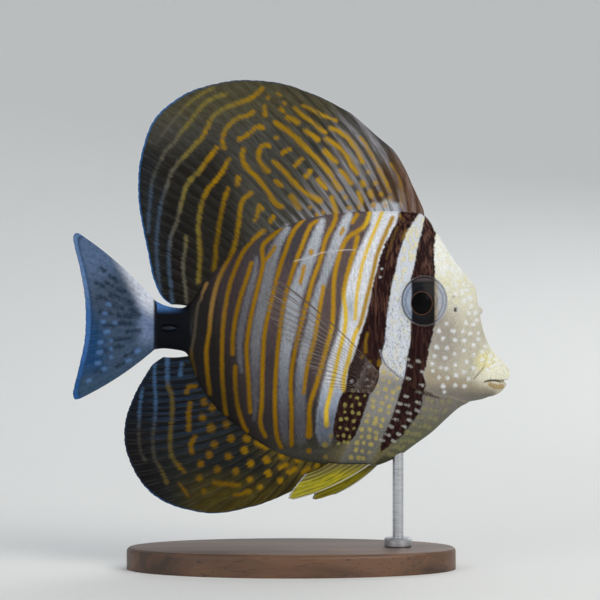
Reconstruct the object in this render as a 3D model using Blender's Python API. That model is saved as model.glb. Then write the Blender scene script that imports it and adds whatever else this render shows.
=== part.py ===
"""A red sea sailfin tang at life size, swimming with its fins spread, on a plain display stand.

Metres, +Z up. The fish looks along +X, its right flank faces -Y, and the floor is at Z = 0.
The side view is drawn on a grid: u runs towards the snout and v runs down, GRID metres each.
"""
import math

import bmesh
import bpy
import numpy as np
from mathutils import Matrix, Vector

# Driving sizes of the fish, in metres
TOTAL_LENGTH = 0.160
DRAWN_LENGTH = 438.6
DRAWN_MIDDLE = 291.2
DRAWN_LOWEST = 513.6
GRID = TOTAL_LENGTH / DRAWN_LENGTH
MM = 0.001
GAP = 0.3 * MM
FIN_GAP = 0.4 * MM

# The stand
BASE_LENGTH = 0.120
BASE_WIDTH = 0.066
BASE_THICKNESS = 0.008
BASE_BEVEL = 0.0012
FIN_CLEARANCE = 0.012
ROD_DIAMETER = 0.004
ROD_U = 398.0
COLLAR_DIAMETER = 0.010
COLLAR_HEIGHT = 0.003
BASE_SIDES = 96
BASE_BEVEL_STEPS = 2
ROD_SIDES = 24
ROD_REACH = 0.004
LOWEST_FIN_Z = BASE_THICKNESS + FIN_CLEARANCE

# The body's sections from tail to snout: top u, v, bottom u, v, half width in millimetres,
# fullness (1 is an ellipse, more is leaner towards its edges) and how far the width sits below the middle
SECTIONS = (
    (154.5, 300.0, 154.5, 349.5, 1.9, 1.00, 0.00),
    (163.0, 304.6, 163.0, 348.5, 2.6, 1.00, 0.00),
    (174.0, 307.4, 174.0, 349.5, 3.0, 1.00, 0.00),
    (184.5, 307.2, 185.5, 352.5, 3.5, 1.02, 0.00),
    (192.5, 299.0, 191.0, 363.0, 3.9, 1.06, 0.00),
    (201.0, 286.5, 197.0, 380.0, 4.6, 1.10, 0.00),
    (213.0, 272.5, 207.0, 397.0, 5.5, 1.14, 0.00),
    (226.0, 259.5, 221.0, 413.5, 6.4, 1.16, 0.00),
    (240.0, 248.0, 238.0, 427.5, 7.2, 1.16, 0.00),
    (256.0, 238.5, 255.0, 440.5, 7.9, 1.16, 0.00),
    (278.0, 228.5, 278.0, 453.5, 8.7, 1.16, 0.02),
    (305.0, 218.5, 303.0, 461.5, 9.5, 1.16, 0.04),
    (340.0, 212.0, 330.0, 465.0, 10.1, 1.16, 0.06),
    (376.0, 210.3, 355.0, 466.0, 10.3, 1.16, 0.08),
    (405.0, 210.8, 376.0, 465.5, 10.1, 1.16, 0.10),
    (424.0, 214.6, 397.0, 457.0, 9.8, 1.15, 0.12),
    (436.2, 231.8, 415.0, 444.5, 9.4, 1.14, 0.14),
    (446.6, 249.0, 431.4, 432.5, 8.8, 1.12, 0.16),
    (456.5, 263.5, 445.5, 419.5, 8.2, 1.10, 0.18),
    (467.0, 276.5, 458.0, 408.4, 7.5, 1.08, 0.20),
    (475.2, 287.5, 467.0, 403.4, 6.7, 1.06, 0.20),
    (478.2, 306.0, 476.0, 400.8, 5.8, 1.04, 0.18),
    (482.4, 327.0, 484.5, 398.6, 4.8, 1.02, 0.14),
    (488.2, 343.8, 491.0, 396.4, 4.0, 1.00, 0.10),
    (496.2, 355.0, 497.0, 394.2, 3.5, 1.00, 0.06),
    (502.8, 361.4, 501.6, 391.2, 2.8, 1.00, 0.04),
    (507.4, 367.0, 504.6, 387.2, 2.1, 1.00, 0.00),
)
SNOUT_TIP = (509.6, 376.0)
STATIONS = 46
RING_POINTS = 24

# The line of the gill opening and nape, which parts the head from the torso
GILL_LINE = (
    (432.0, 203.0), (423.5, 216.0), (409.0, 240.0), (396.5, 272.0), (388.0, 305.0), (382.5, 335.0),
    (381.0, 350.0), (386.0, 363.0), (394.5, 373.0), (405.0, 381.0), (421.0, 389.5), (438.0, 394.0),
    (456.0, 398.5), (471.0, 406.0), (480.0, 413.0),
)
STALK_LINE = ((186.0, 290.0), (187.0, 308.0), (187.5, 330.0), (188.0, 353.0), (187.5, 372.0))
CUT_REACH = 0.020

# Eyes: orbit centre on the grid, half sizes in millimetres, and the depth of the ball's centre
EYE_CENTRE = (423.0, 301.0)
EYE_HALF = (8.6, 3.6, 9.3)
EYE_BULGE = 2.0 * MM
RIM_HALF = (8.4, 9.1)
RIM_TUBE = 0.75 * MM

# Nostrils: grid place, rim radius and hole radius in millimetres
NOSTRILS = ((455.9, 309.8, 1.10, 0.50), (454.0, 295.5, 0.75, 0.32))
NOSTRIL_RIM_LENGTH = 2.2 * MM
NOSTRIL_RIM_DEPTH = 0.6 * MM
NOSTRIL_HOLE_LENGTH = 2.0 * MM
NOSTRIL_HOLE_RISE = 0.4 * MM

# Lips: grid centre, half sizes in millimetres and nose-down tilt in degrees
LIPS = (((499.5, 372.6), (4.0, 2.9, 3.4), 24.0), ((496.0, 388.4), (3.0, 2.5, 2.15), -12.0))
MOUTH_LINE = ((516.0, 382.6), (503.0, 381.6), (494.0, 380.4), (485.0, 382.5))
MOUTH_GAP = 0.5 * MM

# The scalpel on each side of the tail stalk
SPINE_CENTRE = (170.0, 328.0)
SPINE_HALF = (2.9, 0.55, 0.85)

# Fins: front to rear, each guide ray's root u, v and tip u, v on the grid
DORSAL_GUIDES = (
    (423.0, 214.0, 419.5, 201.5), (418.5, 212.8, 405.5, 173.0), (412.0, 211.5, 389.0, 146.5),
    (404.0, 210.9, 352.0, 113.5), (395.0, 210.6, 322.0, 97.2), (376.0, 210.3, 283.0, 83.6),
    (357.0, 211.0, 247.0, 79.7), (339.0, 212.2, 223.0, 81.8), (320.0, 215.2, 193.0, 90.0),
    (303.0, 219.2, 174.0, 100.5), (285.0, 226.0, 158.0, 114.0), (270.0, 232.5, 148.0, 131.0),
    (254.0, 240.0, 139.8, 160.0), (240.0, 248.5, 137.8, 182.0), (228.0, 258.0, 138.6, 204.0),
    (216.0, 270.0, 142.6, 228.0), (205.0, 283.0, 147.5, 252.0), (196.0, 294.0, 152.5, 276.5),
    (189.0, 302.0, 161.0, 296.0), (185.5, 306.0, 171.0, 304.5),
)
ANAL_GUIDES = (
    (326.0, 465.5, 318.0, 471.5), (318.0, 464.5, 301.0, 485.5), (310.0, 463.3, 287.0, 493.6),
    (302.0, 461.5, 270.0, 501.0), (294.0, 459.2, 251.0, 507.2), (285.0, 456.0, 214.0, 513.6),
    (275.0, 452.5, 177.0, 507.2), (263.0, 445.5, 153.0, 495.0), (251.0, 438.0, 137.0, 476.5),
    (238.0, 427.5, 126.5, 453.0), (228.0, 419.0, 123.8, 434.0), (218.0, 410.5, 126.0, 416.5),
    (207.0, 397.0, 131.0, 402.5), (199.0, 386.0, 137.0, 389.0), (193.5, 373.0, 145.0, 375.5),
    (190.0, 361.0, 152.5, 364.5), (187.5, 355.5, 163.0, 357.0),
)
CAUDAL_GUIDES = (
    (154.5, 300.5, 73.4, 234.4), (154.5, 305.0, 75.2, 246.5), (154.5, 311.5, 80.0, 270.0),
    (154.5, 318.5, 85.2, 297.0), (154.5, 325.0, 87.3, 321.0), (154.5, 332.0, 85.6, 343.0),
    (154.5, 339.0, 80.2, 368.0), (154.5, 345.0, 74.6, 389.5), (154.5, 349.0, 72.2, 399.0),
)
PECTORAL_GUIDES = (
    (376.5, 370.0, 279.0, 279.6), (376.2, 372.5, 267.0, 291.0), (375.8, 375.0, 266.5, 305.0),
    (375.0, 378.0, 274.0, 322.0), (374.0, 381.0, 287.0, 339.0), (372.5, 384.5, 301.0, 356.0),
    (371.0, 387.5, 314.0, 373.0), (369.0, 390.5, 328.0, 384.5), (367.0, 393.0, 343.0, 391.0),
)
PELVIC_GUIDES = {
    "right": (
        (376.0, 466.0, 293.0, 498.4), (372.0, 466.0, 287.5, 497.4), (368.0, 466.0, 291.0, 490.5),
        (363.0, 466.0, 302.0, 480.5), (357.0, 466.0, 319.0, 471.0),
    ),
    "left": (
        (376.0, 466.0, 336.0, 495.2), (372.0, 466.0, 314.5, 501.2), (368.0, 466.0, 313.0, 496.5),
        (363.0, 466.0, 319.0, 486.0), (357.0, 466.0, 330.0, 474.0),
    ),
}
FIN_RAYS = {"dorsal": 33, "anal": 26, "caudal": 16, "pectoral": 15, "pelvic": 6}
FIN_SPINES = {"dorsal": 4, "anal": 3, "caudal": 0, "pectoral": 0, "pelvic": 1}
FIN_ROWS = {"dorsal": 6, "anal": 6, "caudal": 6, "pectoral": 5, "pelvic": 5}
MEMBRANE_HALF = 0.26 * MM
RIDGE_RISE = 0.34 * MM
SPINE_STOUTNESS = 1.4
RIDGE_FEET = (0.0, 0.28, 0.72)
NARROW_FEET = (0.0, 0.5)
SCALLOP = 0.35 * MM
TIP_HALF = 0.13 * MM
SHEATH_LENGTH = 4.5 * MM
SHEATH_HALF = 0.85 * MM
PECTORAL_SHEATH = 0.5 * SHEATH_HALF
PELVIC_SHEATH = 0.35 * SHEATH_HALF
PECTORAL_SPREAD = math.radians(18.0)
PECTORAL_BOW = -0.03
PELVIC_SPREAD = math.radians(8.0)
PELVIC_ROOT_Y = 2.3 * MM
PELVIC_BOW = 0.05

# Colours as linear RGB, with roughness
COLOURS = {
    "flank": ((0.36, 0.33, 0.36), 0.45),
    "face": ((0.72, 0.68, 0.55), 0.45),
    "stalk": ((0.010, 0.016, 0.035), 0.40),
    "sail": ((0.10, 0.085, 0.04), 0.40),
    "tail": ((0.20, 0.28, 0.42), 0.40),
    "clear_fin": ((0.62, 0.60, 0.52), 0.30),
    "yellow_fin": ((0.55, 0.50, 0.04), 0.40),
    "eye": ((0.004, 0.004, 0.006), 0.08),
    "spine": ((0.60, 0.58, 0.52), 0.35),
    "stand_wood": ((0.030, 0.022, 0.018), 0.40),
    "stand_steel": ((0.55, 0.56, 0.58), 0.30),
}


def clear_scene():
    for thing in list(bpy.data.objects):
        bpy.data.objects.remove(thing)


def place(u, v):
    """Grid point to X and Z in metres."""
    return (u - DRAWN_MIDDLE) * GRID, LOWEST_FIN_Z + (DRAWN_LOWEST - v) * GRID


def smooth_curve(points, count=None, shares=None):
    """Points of any dimension on a Catmull-Rom curve: count even ones, or those at shares of its length."""
    p = np.array(points, float)
    p = np.vstack([2 * p[0] - p[1], p, 2 * p[-1] - p[-2]])
    steps = 24
    t = np.arange(steps)[:, None] / steps
    curve = [
        0.5 * (2 * b + (c - a) * t + (2 * a - 5 * b + 4 * c - d) * t**2 + (3 * b - a - 3 * c + d) * t**3)
        for a, b, c, d in zip(p[:-3], p[1:-2], p[2:-1], p[3:])
    ]
    curve = np.vstack([*curve, p[-2:-1]])
    length = np.concatenate([[0], np.cumsum(np.linalg.norm(np.diff(curve[:, :2], axis=0), axis=1))])
    wanted = (np.linspace(0, 1, count) if shares is None else np.array(shares)) * length[-1]
    return np.array([np.interp(wanted, length, curve[:, k]) for k in range(p.shape[1])]).T


def body_stations():
    """Rows of top x, z, bottom x, z, half width, fullness and skew, in metres, tail to snout."""
    rows = []
    for top_u, top_v, low_u, low_v, half, full, skew in smooth_curve(SECTIONS, STATIONS):
        rows.append((*place(top_u, top_v), *place(low_u, low_v), half * MM, full, skew))
    return np.array(rows)


STATION_ROWS = body_stations()


def section_point(row, angle):
    """A point on one section. Angle 0 is the back and pi the belly, and +Y is at a quarter turn."""
    top, low = np.array((row[0], row[1])), np.array((row[2], row[3]))
    up, side = math.cos(angle), math.sin(angle)
    across = row[4] * math.copysign(abs(side) ** row[5], side) * (1 - row[6] * up)
    x, z = (top + low) / 2 + (top - low) / 2 * up
    return Vector((x, across, z))


def body_surface_y(x, z):
    """Half width of the body's smooth surface at a side-view point."""
    top, low = STATION_ROWS[:, 0:2], STATION_ROWS[:, 2:4]
    axis = low - top
    offset = np.array((x, z)) - top
    side = axis[:, 0] * offset[:, 1] - axis[:, 1] * offset[:, 0]
    cross = int(np.argmax(side > 0)) if side[0] <= 0 else int(np.argmax(side <= 0))
    share = side[cross - 1] / (side[cross - 1] - side[cross])
    row = STATION_ROWS[cross - 1] * (1 - share) + STATION_ROWS[cross] * share
    half = np.linalg.norm(row[0:2] - row[2:4]) / 2
    middle = (row[0:2] + row[2:4]) / 2
    up = np.dot(np.array((x, z)) - middle, row[0:2] - row[2:4]) / (2 * half * half)
    up = max(-1.0, min(1.0, up))
    return row[4] * (1 - up * up) ** (row[5] / 2) * (1 - row[6] * up)


def edge_drop(row, y):
    """How far the body's edge falls from its keel at a sideways distance y."""
    half = math.hypot(row[0] - row[2], row[1] - row[3]) / 2
    up = math.sqrt(max(0.0, 1 - (abs(y) / row[4]) ** (2 / row[5])))
    return half * (1 - up)


def edge_z(x, y, on_back):
    """Height of the back or the belly at x, at a sideways distance y from the keel."""
    column = 0 if on_back else 2
    rows = STATION_ROWS
    row = np.array([np.interp(x, rows[:, column], rows[:, k]) for k in range(rows.shape[1])])
    drop = edge_drop(row, y)
    return row[1] - drop if on_back else row[3] + drop


def object_from(name, mesh):
    mesh.name = name
    thing = bpy.data.objects.new(name, mesh)
    bpy.context.scene.collection.objects.link(thing)
    return thing


def mesh_from(bm):
    bmesh.ops.recalc_face_normals(bm, faces=bm.faces)
    mesh = bpy.data.meshes.new("mesh")
    bm.to_mesh(mesh)
    bm.free()
    return mesh


def paint(thing, colour_name, smooth=True):
    colour, roughness = COLOURS[colour_name]
    material = bpy.data.materials.get(colour_name) or bpy.data.materials.new(colour_name)
    material.use_nodes = True
    shader = material.node_tree.nodes["Principled BSDF"]
    shader.inputs["Base Color"].default_value = (*colour, 1.0)
    shader.inputs["Roughness"].default_value = roughness
    shader.inputs["Metallic"].default_value = 1.0 if colour_name == "stand_steel" else 0.0
    thing.data.materials.clear()
    thing.data.materials.append(material)
    if smooth:
        thing.data.shade_smooth()
        thing.data.set_sharp_from_angle(angle=math.radians(40))


def loft(extra=0.0):
    """The whole body as one closed skin, or one that stands off it by extra."""
    bm = bmesh.new()
    rings = []
    for row in STATION_ROWS:
        grown = row.copy()
        away = (row[0:2] - row[2:4]) / np.linalg.norm(row[0:2] - row[2:4]) * extra
        grown[0:2] += away
        grown[2:4] -= away
        grown[4] += extra
        angles = [2 * math.pi * k / RING_POINTS for k in range(RING_POINTS)]
        rings.append([bm.verts.new(section_point(grown, angle)) for angle in angles])
    for near, far in zip(rings, rings[1:]):
        for k in range(RING_POINTS):
            after = (k + 1) % RING_POINTS
            bm.faces.new((near[k], near[after], far[after], far[k]))
    bm.faces.new(rings[0])
    tip_x, tip_z = place(*SNOUT_TIP)
    tip = bm.verts.new((tip_x + extra, 0.0, tip_z))
    for k in range(RING_POINTS):
        bm.faces.new((rings[-1][k], rings[-1][(k + 1) % RING_POINTS], tip))
    bmesh.ops.triangulate(bm, faces=bm.faces)
    return mesh_from(bm)


def ellipsoid(centre, halves, turn=Matrix.Identity(4), extra=0.0, across=16, along=10):
    bm = bmesh.new()
    bmesh.ops.create_uvsphere(bm, u_segments=across, v_segments=along, radius=1.0)
    size = Matrix.Diagonal((*[h * MM + extra for h in halves], 1.0))
    bm.transform(Matrix.Translation(centre) @ turn @ size)
    return mesh_from(bm)


def surface_normal(x, z, side):
    """The body's outward normal at a side-view point of one flank."""
    step = 1.5 * MM
    slope_x = (body_surface_y(x + step, z) - body_surface_y(x - step, z)) / (2 * step)
    slope_z = (body_surface_y(x, z + step) - body_surface_y(x, z - step)) / (2 * step)
    return Vector((-slope_x, side, -slope_z)).normalized()


def surface_ring(centre, halves, tube, side, around=24, sides=5):
    """A closed round ring that lies on one flank, with the given half sizes in the side view."""
    bm = bmesh.new()
    loops = []
    for i in range(around):
        turn = 2 * math.pi * i / around
        out = Vector((math.cos(turn), 0.0, math.sin(turn)))
        x, z = centre[0] + halves[0] * MM * out.x, centre[1] + halves[1] * MM * out.z
        middle = Vector((x, side * body_surface_y(x, z), z))
        normal = surface_normal(x, z, side)
        across = (out - normal * out.dot(normal)).normalized()
        loops.append([
            bm.verts.new(
                middle
                + across * tube * math.cos(2 * math.pi * j / sides)
                + normal * tube * math.sin(2 * math.pi * j / sides)
            )
            for j in range(sides)
        ])
    for i in range(around):
        near, far = loops[i], loops[(i + 1) % around]
        for j in range(sides):
            bm.faces.new((near[j], near[(j + 1) % sides], far[(j + 1) % sides], far[j]))
    return mesh_from(bm)


def ribbon(line, thickness, reach, points=40):
    """A thin closed blade that follows a side-view line and runs across the body."""
    grid = smooth_curve(line, points)
    path = np.array([place(u, v) for u, v in grid])
    along = np.gradient(path, axis=0)
    along /= np.linalg.norm(along, axis=1)[:, None]
    normal = np.stack([-along[:, 1], along[:, 0]], axis=1) * thickness / 2
    bm = bmesh.new()
    outline = [*(path + normal), *(path - normal)[::-1]]
    near = [bm.verts.new((x, -reach, z)) for x, z in outline]
    far = [bm.verts.new((x, reach, z)) for x, z in outline]
    count = len(outline)
    for k in range(count):
        bm.faces.new((near[k], near[(k + 1) % count], far[(k + 1) % count], far[k]))
    for k in range(count // 2 - 1):
        bm.faces.new((near[k], near[k + 1], near[count - 2 - k], near[count - 1 - k]))
        bm.faces.new((far[k], far[k + 1], far[count - 2 - k], far[count - 1 - k]))
    return mesh_from(bm)


def round_bar(centre, radius, length, direction, sides=16):
    bm = bmesh.new()
    bmesh.ops.create_cone(
        bm, cap_ends=True, segments=sides, radius1=radius, radius2=radius, depth=length
    )
    turn = Vector((0, 0, 1)).rotation_difference(Vector(direction)).to_matrix().to_4x4()
    bm.transform(Matrix.Translation(centre) @ turn)
    return mesh_from(bm)


def combine(thing, meshes, operation):
    """One Boolean of the thing with a collection of closed meshes, applied."""
    helpers = bpy.data.collections.new("helpers")
    bpy.context.scene.collection.children.link(helpers)
    for mesh in meshes:
        helpers.objects.link(bpy.data.objects.new("helper", mesh))
    modifier = thing.modifiers.new("combine", "BOOLEAN")
    modifier.operation = operation
    modifier.operand_type = "COLLECTION"
    modifier.collection = helpers
    modifier.solver = "EXACT"
    graph = bpy.context.evaluated_depsgraph_get()
    result = bpy.data.meshes.new_from_object(thing.evaluated_get(graph))
    thing.modifiers.clear()
    thing.data = result
    for helper in list(helpers.objects):
        bpy.data.objects.remove(helper)
    bpy.data.collections.remove(helpers)


def loose_pieces(mesh):
    """The closed surfaces of a mesh, largest first, as lists of face indices."""
    bm = bmesh.new()
    bm.from_mesh(mesh)
    seen, pieces = set(), []
    for face in bm.faces:
        if face in seen:
            continue
        stack, piece = [face], []
        seen.add(face)
        while stack:
            current = stack.pop()
            piece.append(current)
            for edge in current.edges:
                for other in edge.link_faces:
                    if other not in seen:
                        seen.add(other)
                        stack.append(other)
        pieces.append(sorted(f.index for f in piece))
    bm.free()
    return sorted(pieces, key=len, reverse=True)


def mesh_of_faces(mesh, keep):
    bm = bmesh.new()
    bm.from_mesh(mesh)
    kept = set(keep)
    bmesh.ops.delete(bm, geom=[f for f in bm.faces if f.index not in kept], context="FACES")
    new = bpy.data.meshes.new("mesh")
    bm.to_mesh(new)
    bm.free()
    return new


def both_sides():
    return (("right", -1.0), ("left", 1.0))


def eyeball(side, extra=0.0):
    """A flattened ball set square to the cheek, deep enough to bulge only EYE_BULGE past it."""
    x, z = place(*EYE_CENTRE)
    normal = surface_normal(x, z, side)
    centre = Vector((x, side * body_surface_y(x, z), z)) + normal * (EYE_BULGE - EYE_HALF[1] * MM)
    turn = Vector((0.0, side, 0.0)).rotation_difference(normal).to_matrix().to_4x4()
    return ellipsoid(centre, EYE_HALF, turn, extra, across=20, along=12)


def make_body():
    """Head, torso and tail stalk: modelled whole, with its face, and parted by thin cuts."""
    body = object_from("body", loft())
    added, removed = [], []
    for _, side in both_sides():
        added.append(surface_ring(place(*EYE_CENTRE), RIM_HALF, RIM_TUBE, side))
        removed.append(eyeball(side, extra=GAP))
        for u, v, rim, hole in NOSTRILS:
            x, z = place(u, v)
            out = body_surface_y(x, z)
            base = (x, side * (out - NOSTRIL_RIM_DEPTH), z)
            added.append(round_bar(base, rim * MM, NOSTRIL_RIM_LENGTH, (0, 1, 0), sides=12))
            mouth = (x, side * (out + NOSTRIL_HOLE_RISE), z)
            removed.append(round_bar(mouth, hole * MM, NOSTRIL_HOLE_LENGTH, (0, 1, 0), sides=8))
        spine_x, spine_z = place(*SPINE_CENTRE)
        spine_y = side * body_surface_y(spine_x, spine_z)
        spine_place = (spine_x, spine_y, spine_z)
        removed.append(ellipsoid(spine_place, SPINE_HALF, extra=GAP, across=10, along=6))
    for centre, halves, tilt in LIPS:
        x, z = place(*centre)
        added.append(ellipsoid((x, 0.0, z), halves, Matrix.Rotation(math.radians(tilt), 4, "Y")))
    removed.append(ribbon(MOUTH_LINE, MOUTH_GAP, CUT_REACH, points=12))
    removed.append(ribbon(GILL_LINE, GAP, CUT_REACH))
    removed.append(ribbon(STALK_LINE, GAP, CUT_REACH, points=10))
    combine(body, added, "UNION")
    combine(body, removed, "DIFFERENCE")
    pieces = loose_pieces(body.data)[:3]
    meshes = [mesh_of_faces(body.data, piece) for piece in pieces]
    meshes.sort(key=lambda m: sum(v.co.x for v in m.vertices) / len(m.vertices))
    names = (("tail_stalk", "stalk"), ("torso", "flank"), ("head", "face"))
    for (name, colour), mesh in zip(names, meshes):
        paint(object_from(name, mesh), colour)
    bpy.data.objects.remove(body)


def make_eyes():
    for word, side in both_sides():
        paint(object_from(f"eye_{word}", eyeball(side)), "eye")


def make_tail_spines():
    x, z = place(*SPINE_CENTRE)
    for word, side in both_sides():
        centre = (x, side * body_surface_y(x, z), z)
        mesh = ellipsoid(centre, SPINE_HALF, across=10, along=6)
        paint(object_from(f"tail_spine_{word}", mesh), "spine")


def ray_columns(guides, kind, feet):
    """Root and tip grid points of each column of a fin, and how stout a ray stands there: 0 is
    bare membrane. Its columns lie at the given shares of the way from ray to ray, and end short."""
    rays = FIN_RAYS[kind]
    columns, shares = [], []
    for ray in range(rays):
        for foot in feet if ray < rays - 1 else feet[:1]:
            stout = SPINE_STOUTNESS if ray < FIN_SPINES[kind] else 1.0
            columns.append(stout if foot == 0.0 else 0.0)
            shares.append((ray + foot) / (rays - 1))
    points = smooth_curve(guides, shares=shares)
    for point, stout in zip(points, columns):
        if not stout:
            chord = point[2:4] - point[0:2]
            point[2:4] -= chord / np.linalg.norm(chord) * SCALLOP / GRID
    return list(zip(points, columns, shares))


def ray_point(root, tip, bow, share):
    """A side-view point along a ray that bows to its front side by bow of its length."""
    chord = tip - root
    front = np.array((-chord[1], chord[0])) * 2 * bow
    bend = (root + tip) / 2 + front
    return root * (1 - share) ** 2 + bend * 2 * share * (1 - share) + tip * share**2


def half_thickness(stout, share, length, sheath):
    """Half the fin's thickness: membrane, ray ridge and the fleshy sheath at the root."""
    fade = 1 - share
    edge = TIP_HALF + (MEMBRANE_HALF - TIP_HALF) * min(1.0, 4.0 * fade)
    rise = RIDGE_RISE * stout * (0.25 + 0.75 * fade)
    return edge + rise + sheath * math.exp(-share * length / SHEATH_LENGTH)


def sheet_solid(left, right, root_middle):
    """A closed fin from two like grids of points, column by column, and the points between their roots."""
    bm = bmesh.new()
    a = [[bm.verts.new(p) for p in column] for column in left]
    b = [[bm.verts.new(p) for p in column] for column in right]
    m = [bm.verts.new(p) for p in root_middle]
    columns, rows = len(a), len(a[0])
    for i in range(columns - 1):
        for j in range(rows - 1):
            bm.faces.new((a[i][j], a[i + 1][j], a[i + 1][j + 1]))
            bm.faces.new((a[i][j], a[i + 1][j + 1], a[i][j + 1]))
            bm.faces.new((b[i][j], b[i + 1][j + 1], b[i + 1][j]))
            bm.faces.new((b[i][j], b[i][j + 1], b[i + 1][j + 1]))
        bm.faces.new((a[i][-1], a[i + 1][-1], b[i + 1][-1], b[i][-1]))
        bm.faces.new((a[i][0], m[i], m[i + 1], a[i + 1][0]))
        bm.faces.new((m[i], b[i][0], b[i + 1][0], m[i + 1]))
    for i in (0, columns - 1):
        bm.faces.new((a[i][0], a[i][1], b[i][1], b[i][0], m[i]))
        for j in range(1, rows - 1):
            bm.faces.new((a[i][j], a[i][j + 1], b[i][j + 1], b[i][j]))
    bmesh.ops.triangulate(bm, faces=bm.faces)
    return mesh_from(bm)


def middle_fin(name, kind, guides, bow, colour, root_height, sheath_shape):
    """A fin in the fish's middle plane. root_height gives a root's X and Z at a side distance."""
    rows = FIN_ROWS[kind]
    left, right, middle = [], [], []
    for (root_u, root_v, tip_u, tip_v), stout, along in ray_columns(guides, kind, RIDGE_FEET):
        root, tip = np.array(place(root_u, root_v)), np.array(place(tip_u, tip_v))
        length = float(np.linalg.norm(tip - root))
        sheath = SHEATH_HALF * sheath_shape(along)
        middle_x, middle_z = root_height(root, 0.0)
        side_a, side_b = [], []
        for j in range(rows + 1):
            share = j / rows
            half = half_thickness(stout, share, length, sheath)
            on_root = j == 0
            x, z = root_height(root, half) if on_root else ray_point(root, tip, bow(along), share)
            side_a.append((x, half, z))
            side_b.append((x, -half, z))
        left.append(side_a)
        right.append(side_b)
        middle.append((middle_x, 0.0, middle_z))
    paint(object_from(name, sheet_solid(left, right, middle)), colour)


def make_dorsal_fin():
    def on_back(root, half):
        return root[0], edge_z(root[0], half, True) + FIN_GAP

    def bow(along):
        return -(0.03 + 0.05 * max(0.0, 1 - along * 3))

    middle_fin("dorsal_fin", "dorsal", DORSAL_GUIDES, bow, "sail", on_back, lambda along: 1.0)


def make_anal_fin():
    def on_belly(root, half):
        return root[0], edge_z(root[0], half, False) - FIN_GAP

    middle_fin("anal_fin", "anal", ANAL_GUIDES, lambda along: 0.04, "sail", on_belly, lambda along: 1.0)


def make_caudal_fin():
    end_x = place(SECTIONS[0][0], 0)[0] - GAP

    def on_stalk(root, half):
        return end_x, root[1]

    def bow(along):
        return 0.06 * (2 * along - 1)

    def fleshy(along):
        return 0.2 + 1.1 * math.sqrt(max(0.0, 1 - (2 * along - 1) ** 2))

    middle_fin("caudal_fin", "caudal", CAUDAL_GUIDES, bow, "tail", on_stalk, fleshy)


def make_pectoral_fins():
    """Each leaves the flank at an angle, its root lying face to face with the body."""
    rows = FIN_ROWS["pectoral"]
    out, back = math.sin(PECTORAL_SPREAD), math.cos(PECTORAL_SPREAD)
    for word, side in both_sides():
        outer, inner, middle = [], [], []
        columns = ray_columns(PECTORAL_GUIDES, "pectoral", NARROW_FEET)
        for (root_u, root_v, tip_u, tip_v), stout, _ in columns:
            root, tip = np.array(place(root_u, root_v)), np.array(place(tip_u, tip_v))
            length = float(np.linalg.norm(tip - root))
            along = (tip - root) / length
            start_y = body_surface_y(*root) + FIN_GAP
            outer_column, inner_column = [], []
            for j in range(rows + 1):
                share = j / rows
                half = half_thickness(stout, share, length, PECTORAL_SHEATH)
                if j == 0:
                    foot = along * half / out
                    ahead, behind = root - foot, root + foot
                    for column, (x, z) in ((outer_column, ahead), (inner_column, behind)):
                        column.append((x, side * (body_surface_y(x, z) + FIN_GAP), z))
                    continue
                x, z = ray_point(root, tip, PECTORAL_BOW, share)
                y = start_y + share * length * out / back
                for column, half_y in ((outer_column, half), (inner_column, -half)):
                    lean_x, lean_z = along * half_y * out
                    column.append((x - lean_x, side * (y + half_y * back), z - lean_z))
            outer.append(outer_column)
            inner.append(inner_column)
            middle.append((root[0], side * start_y, root[1]))
        paint(object_from(f"pectoral_fin_{word}", sheet_solid(outer, inner, middle)), "clear_fin")


def make_pelvic_fins():
    """The right one is folded back and the left one hangs lower, as in a slow turn."""
    rows = FIN_ROWS["pelvic"]
    for word, side in both_sides():
        outer, inner, middle = [], [], []
        columns = ray_columns(PELVIC_GUIDES[word], "pelvic", NARROW_FEET)
        for (root_u, root_v, tip_u, tip_v), stout, _ in columns:
            root, tip = np.array(place(root_u, root_v)), np.array(place(tip_u, tip_v))
            length = float(np.linalg.norm(tip - root))
            outer_column, inner_column = [], []
            for j in range(rows + 1):
                share = j / rows
                half = half_thickness(stout, share, length, PELVIC_SHEATH)
                y = PELVIC_ROOT_Y + share * length * math.tan(PELVIC_SPREAD)
                x, z = ray_point(root, tip, PELVIC_BOW, share)
                if j == 0:
                    middle.append((x, side * y, edge_z(x, y, False) - FIN_GAP))
                for column, at_y in ((outer_column, y + half), (inner_column, y - half)):
                    at_z = edge_z(x, at_y, False) - FIN_GAP if j == 0 else z
                    column.append((x, side * at_y, at_z))
            outer.append(outer_column)
            inner.append(inner_column)
        paint(object_from(f"pelvic_fin_{word}", sheet_solid(outer, inner, middle)), "yellow_fin")


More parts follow.
